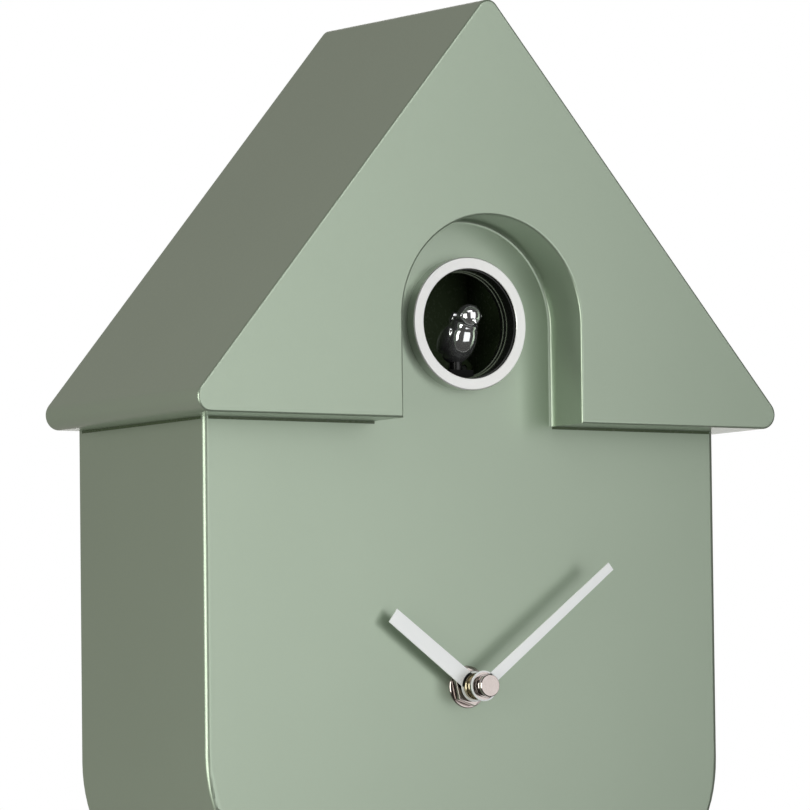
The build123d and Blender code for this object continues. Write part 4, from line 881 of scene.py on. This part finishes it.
# %% One chromed skin
chrome_bird = finish_piece(bird, "chromed_bird", chrome, "bird_slide", "bird", sharp=80)
skin = chrome_bird.modifiers.new("one_skin", "REMESH")
skin.mode = "VOXEL"
skin.voxel_size = 0.22 * MM
skin.use_smooth_shade = True
soft = chrome_bird.modifiers.new("soft_creases", "SMOOTH")
soft.factor = 0.5
soft.iterations = 22

# %% [markdown]
# ## Hands
# Both hands are stamped aluminium strips with silver-white enamel. A thin cube would have razor
# edges that no light can catch. So each hand is drawn flat and extruded to its thickness, and its
# edges get a bevel too small to see but wide enough to glint. A Weighted Normal modifier keeps the
# blade flat between them.


# %% Draw a hand
hand_thickness = 0.5
hand_bevel = 0.06
hub_radius = 4.9


def hand_shape(length, root_width, tip_width):
    """A flat hand that points up from the origin, with its back on the XZ plane and a round hub."""
    shape = bmesh.new()
    outline = [
        (-root_width / 2, 0),
        (root_width / 2, 0),
        (tip_width / 2, length),
        (-tip_width / 2, length),
    ]
    corners = [shape.verts.new((x, 0, z)) for x, z in outline]
    blade = shape.faces.new(corners)
    grown = bmesh.ops.extrude_face_region(shape, geom=[blade])["geom"]
    moved = [item for item in grown if isinstance(item, bmesh.types.BMVert)]
    bmesh.ops.translate(shape, verts=moved, vec=(0, -hand_thickness, 0))
    bmesh.ops.bevel(
        shape,
        geom=shape.edges[:],
        offset=hand_bevel,
        affect="EDGES",
        segments=2,
        profile=0.5,
        material=-1,
    )
    hub = bmesh.ops.create_cone(
        shape,
        cap_ends=True,
        segments=64,
        radius1=hub_radius,
        radius2=hub_radius,
        depth=hand_thickness,
        matrix=Matrix.Translation((0, -hand_thickness / 2, 0)) @ Matrix.Rotation(pi / 2, 4, "X"),
    )
    # The hub's two rims are its edges that bend by a quarter turn, so by more than one radian.
    hub_edges = {edge for corner in hub["verts"] for edge in corner.link_edges}
    rim = [edge for edge in hub_edges if edge.calc_face_angle(0) > 1]
    bmesh.ops.bevel(
        shape, geom=rim, offset=hand_bevel, affect="EDGES", segments=2, profile=0.5, material=-1
    )
    return shape


def turn_to(shape, angle, depth):
    """Turns a hand to a clock angle in degrees and sets its back at a depth."""
    bmesh.ops.rotate(
        shape, verts=shape.verts, cent=(0, 0, 0), matrix=Matrix.Rotation(radians(angle), 3, "Y")
    )
    bmesh.ops.translate(shape, verts=shape.verts, vec=(0, depth, arbor_z))


# %% [markdown]
# ## Where the hands point
# The hands show 8.6 minutes past ten. Both angles could be typed in, but the gearing turns the hour
# hand 12 times slower, so its angle follows from the minutes. It is pressed on 1.9 degrees further
# on than its gear says, as hands set by eye often are.

# %% Make both hands
minutes_past = 8.6
hour_lead = 1.9
minute_angle = 6 * minutes_past
hour_angle = 10 * 30 + minute_angle / 12 + hour_lead
hour_back = face_y - 4.2
minute_back = face_y - 9.8
hour_shape = hand_shape(length=38.0, root_width=5.7, tip_width=5.2)
turn_to(hour_shape, hour_angle, hour_back)
hour_blade = finish_piece(hour_shape, "hour_blade", hand_paint, "hour_work", "hour_hand")
keep_flat(hour_blade)
minute_shape = hand_shape(length=63.0, root_width=3.7, tip_width=2.9)
turn_to(minute_shape, minute_angle, minute_back)
minute_blade = finish_piece(
    minute_shape, "minute_blade", hand_paint, "minute_work", "minute_hand"
)
keep_flat(minute_blade)

# %% [markdown]
# ## The hands' fixing
# Washer, bush, collets and cap are small turned parts. Smooth cylinders would have the right size,
# but the chamfers and grooves are what makes such parts read as metal. So each outline has them, as
# pairs of a radius and a depth, and is spun round the hands' arbor.

# %% Washer
arbor = (0, arbor_z)
washer_thickness = 0.5
washer_front = face_y - washer_thickness
washer_shape = lathe(
    [
        (4.1, face_y),
        (4.1, washer_front + 0.05),
        (4.2, washer_front),
        (6.6, washer_front),
        (6.8, washer_front + 0.2),
        (6.8, face_y),
    ],
    arbor,
)
finish_piece(washer_shape, "fixing_washer", nickel, "case", "bush_washer")

# %% [markdown]
# ## The threaded bush
# The movement is held by an M8 brass bush with a fine thread. A true helix would need a screw
# operator and two awkward ends. Round grooves look the same at this size, so the outline is given
# one flat-topped ridge for each pitch and is spun like the rest.

# %% Threaded bush
bush_bore, thread_root, thread_crest = 2.58, 3.68, 4.0
thread_pitch, thread_length = 0.75, 6.6
bush_back, bush_front = face_y + 3.4, face_y - 3.6
thread_start = bush_front + 0.2
thread = [(bush_bore, bush_back), (bush_bore, bush_front), (3.6, bush_front)]
for ridge in range(int(thread_length / thread_pitch)):
    depth = thread_start + ridge * thread_pitch
    thread += [
        (thread_root, depth),
        (thread_crest, depth + thread_pitch * 0.35),
        (thread_crest, depth + thread_pitch * 0.55),
    ]
thread.append((thread_root, bush_back))
bush_shape = lathe(thread, arbor)
finish_piece(bush_shape, "fixing_bush", brass, "case", "threaded_bush")

# %% [markdown]
# ## The nut
# The nut is hexagonal, with chamfered edges, and rests 12 degrees from upright, where it was
# tightened. It could be cut from a round piece by six planes, but a cone with six sides and no taper
# is already a hexagon. The bush fills its bore, so that is left closed, and an inset on each cap
# helps to keep its shading flat.

# %% Chamfered hex nut
nut_flats, nut_height, nut_angle = 11.0, 2.4, 12
nut_radius = nut_flats / 2 / cos(pi / 6)
nut_centre = Matrix.Translation((0, washer_front - nut_height / 2, arbor_z))
nut_turn = Matrix.Rotation(radians(nut_angle), 4, "Z")
nut_shape = bmesh.new()
bmesh.ops.create_cone(
    nut_shape,
    cap_ends=True,
    segments=6,
    radius1=nut_radius,
    radius2=nut_radius,
    depth=nut_height,
    matrix=nut_centre @ Matrix.Rotation(pi / 2, 4, "X") @ nut_turn,
)
bmesh.ops.bevel(
    nut_shape, geom=nut_shape.edges[:], offset=0.28, affect="EDGES", segments=2, profile=0.5, material=-1
)
caps = [face for face in nut_shape.faces if len(face.verts) >= 6 and abs(face.normal.y) > 0.9]
bmesh.ops.inset_region(nut_shape, faces=caps, thickness=1.1, depth=0.0)
keep_flat(finish_piece(nut_shape, "fixing_nut", nickel, "case", "bush_nut"))

# %% [markdown]
# ## Collets and cap
# A brass collet holds the hour hand on its tube, a nickelled one holds the minute hand, and a cap
# closes the arbor. They could be one stack, but the two hands turn at different rates, so each
# collet is a piece that rides with its own hand.

# %% Hour collet
hour_front = hour_back - hand_thickness
hour_collet_shape = lathe(
    [
        (2.55, hour_front),
        (2.55, hour_front - 1.9),
        (3.4, hour_front - 1.9),
        (3.6, hour_front - 1.7),
        (3.6, hour_front - 1.2),
        (4.1, hour_front - 1.2),
        (4.3, hour_front - 1.0),
        (4.3, hour_front),
    ],
    arbor,
)
finish_piece(hour_collet_shape, "hour_boss", brass, "hour_work", "hour_collet")

# %% Minute collet, from its bore round the front to its back
minute_collet_shape = lathe(
    [
        (1.66, minute_back + 2.4),
        (1.66, minute_back - 2.2),
        (3.2, minute_back - 2.2),
        (3.4, minute_back - 2.0),
        (3.4, minute_back - 1.5),
        (3.0, minute_back - 1.4),
        (3.0, minute_back - 1.1),
        (3.6, minute_back - 1.0),
        (3.7, minute_back - 0.8),
        (3.3, minute_back - 0.6),
        (4.4, minute_back - 0.5),
        (4.55, minute_back - 0.35),
        (4.55, minute_back),
        (4.3, minute_back),
        (4.3, minute_back + 0.9),
        (4.1, minute_back + 1.1),
        (3.4, minute_back + 1.1),
        (3.4, minute_back + 1.5),
        (3.9, minute_back + 1.5),
        (3.9, minute_back + 2.2),
        (3.7, minute_back + 2.4),
    ],
    arbor,
)
finish_piece(minute_collet_shape, "minute_boss", nickel, "minute_work", "minute_collet")

# %% Cap on the arbor
cap_back = minute_back - 1.1
cap_shape = lathe(
    [
        (0, cap_back),
        (1.6, cap_back),
        (1.6, cap_back - 1.0),
        (2.3, cap_back - 1.1),
        (2.3, cap_back - 1.6),
        (3.4, cap_back - 1.6),
        (3.6, cap_back - 1.8),
        (3.6, cap_back - 2.65),
        (3.35, cap_back - 2.9),
        (3.1, cap_back - 2.9),
        (0, cap_back - 2.9),
    ],
    arbor,
)
finish_piece(cap_shape, "hand_nut_cap", nickel, "minute_work", "hand_cap")

# %% [markdown]
# ## Light table
# The clock stands on a small round light table, a sheet of opal acrylic lit from within. A plain
# white floor would throw a grey shadow under the case. A sheet that glows a little lifts the faces
# that look down. It is staging and no part of the clock, and it is hidden from reflections so that
# no bright disc shows in the chrome.

# %% Table
table_radius, table_drop = 200.0, 0.5
table = bmesh.new()
bmesh.ops.create_circle(table, cap_ends=True, segments=96, radius=table_radius * MM)
bmesh.ops.translate(table, verts=table.verts, vec=(0, 0, -table_drop * MM))
table_mesh = bpy.data.meshes.new("table_top")
table.to_mesh(table_mesh)
table.free()
table_top = bpy.data.objects.new("table_top", table_mesh)
bpy.context.scene.collection.objects.link(table_top)
# To the eye: a pale, even sheet that throws soft light up under the clock.
opal_acrylic = finish(
    "opal_acrylic",
    tones=("#e9e9e7", "#f1f1ef"),
    cloud_mm=60,
    grain_mm=1.5,
    gloss=(0.5, 0.6),
    grain_depth_mm=0.002,
)
opal_shader = opal_acrylic.node_tree.nodes["Principled BSDF"]
opal_shader.inputs["Emission Color"].default_value = colour("#ffffff")
opal_shader.inputs["Emission Strength"].default_value = 0.2
table_mesh.materials.append(opal_acrylic)
table_top.visible_glossy = False
print("table radius", table_radius, "mm")

# %% [markdown]
# ## White studio
# A clock for sale is shown on white. A white world would do that, but it also lights the clock from
# all sides and washes out every edge. So the world is white to the camera alone. In reflections it is
# dim, and dimmer in front than behind, because a real studio is dark past its lamps.

# %% Studio
world = bpy.data.worlds.new("white_studio")
bpy.context.scene.world = world
world.use_nodes = True
bpy.context.scene.view_settings.view_transform = "Standard"
backdrop = world.node_tree.nodes["Background"]
seen = add_node(world, "ShaderNodeLightPath")
# A warm white for the light that falls on the clock, and a pure one for the camera.
tint = add_node(
    world,
    "ShaderNodeMix",
    {6: colour("#fffaf2"), 7: colour("#ffffff")},
    {"Factor": seen.outputs["Is Camera Ray"]},
    data_type="RGBA",
)
world.node_tree.links.new(backdrop.inputs["Color"], tint.outputs[2])
# Reflections see 0.05 in front and up to 0.34 behind, where the direction's Y is positive.
direction = add_node(world, "ShaderNodeTexCoord").outputs["Generated"]
way = add_node(world, "ShaderNodeSeparateXYZ", (), {"Vector": direction})
behind = add_node(
    world,
    "ShaderNodeMapRange",
    {"From Min": -0.3, "From Max": 0.7, "To Min": 0.05, "To Max": 0.34},
    {"Value": way.outputs["Y"]},
)
# All other light from the world has a strength of 0.08, and the camera sees it at full strength.
fill = add_node(
    world,
    "ShaderNodeMapRange",
    {"To Min": 0.08},
    {"Value": seen.outputs["Is Glossy Ray"], "To Max": behind.outputs["Result"]},
)
strength = add_node(
    world,
    "ShaderNodeMapRange",
    {"To Max": 1.0},
    {"Value": seen.outputs["Is Camera Ray"], "To Min": fill.outputs["Result"]},
)
world.node_tree.links.new(backdrop.inputs["Strength"], strength.outputs["Result"])
print("world", world.name, "with", len(world.node_tree.nodes), "nodes")

# %% [markdown]
# ## Softboxes
# Satin lacquer shows a light as a broad glow on a face and as a line on a rounded edge, so each
# softbox is placed for what it draws. One large box all round would be even, but then the edges and
# the chrome would have nothing dark to show. The front one stands right of the middle and fills the
# faces. The strong left one stands far round. It lights the left wall and draws the upright edges,
# while the niche's cheek stays dark. The gap between the two draws the dark stripe on the bird's
# chest. A strip above draws the gable's edge, and a weak one behind keeps the back readable.


# %% Softboxes
def softbox(name, place, aim, width, height, power, tint=(1.0, 1.0, 1.0)):
    """An upright softbox at a place, aimed at another, in metres and watts."""
    light = bpy.data.lights.new(name, "AREA")
    light.shape = "RECTANGLE"
    light.size = width
    light.size_y = height
    light.energy = power
    light.color = tint
    lamp = bpy.data.objects.new(name, light)
    lamp.location = place
    lamp.rotation_mode = "QUATERNION"
    lamp.rotation_quaternion = (Vector(aim) - Vector(place)).to_track_quat("-Z", "Y")
    bpy.context.scene.collection.objects.link(lamp)
    print("softbox", name, power, "W")


middle = (0.0, 0.0, 0.15)
softbox("front_right", (0.295, -1.2, 0.15), (0.295, 0.0, 0.15), 1.17, 1.6, 8.1)
softbox("left_side", (-1.3, -0.48, 0.12), middle, 1.0, 1.0, 12.2, tint=(0.98, 0.99, 0.93))
softbox("top_strip", (-0.3, -1.0, 1.1), middle, 1.0, 0.35, 3.0)
softbox("back_fill", (0.8, 1.4, 0.4), middle, 0.9, 0.9, 4.0)

# %% [markdown]
# ## Camera
# A wall clock is mostly seen from a little below. A short lens close by would make the near eave
# large and the far one small. So the camera stands about 2.5 m away, left of the front and low, with
# a long lens that keeps the two eaves almost parallel. It could be aimed by a constraint, but a
# slight roll has to be kept too, so its three axes are worked out from a turn, a rise and a roll.

# %% Camera
turn, rise, roll = radians(-32.425), radians(4.01), radians(-0.671)
forward = Vector((-sin(turn) * cos(rise), cos(turn) * cos(rise), sin(rise)))
level = Vector((cos(turn), sin(turn), 0.0))
upright = level.cross(forward)
right = level * cos(roll) + upright * sin(roll)
top = upright * cos(roll) - level * sin(roll)
stand = Vector((-1.3234, -2.0791, -0.0077))
camera_data = bpy.data.cameras.new("studio_camera")
camera_data.lens = 337.9
camera_data.sensor_width = 36.0
camera_data.shift_x = -0.0015
camera_data.clip_start = 0.05
camera = bpy.data.objects.new("studio_camera", camera_data)
camera.matrix_world = Matrix(
    (
        (right.x, top.x, -forward.x, stand.x),
        (right.y, top.y, -forward.y, stand.y),
        (right.z, top.z, -forward.z, stand.z),
        (0, 0, 0, 1),
    )
)
bpy.context.scene.collection.objects.link(camera)
bpy.context.scene.camera = camera
print("camera", round(stand.length, 2), "m away with a lens of", camera_data.lens, "mm")
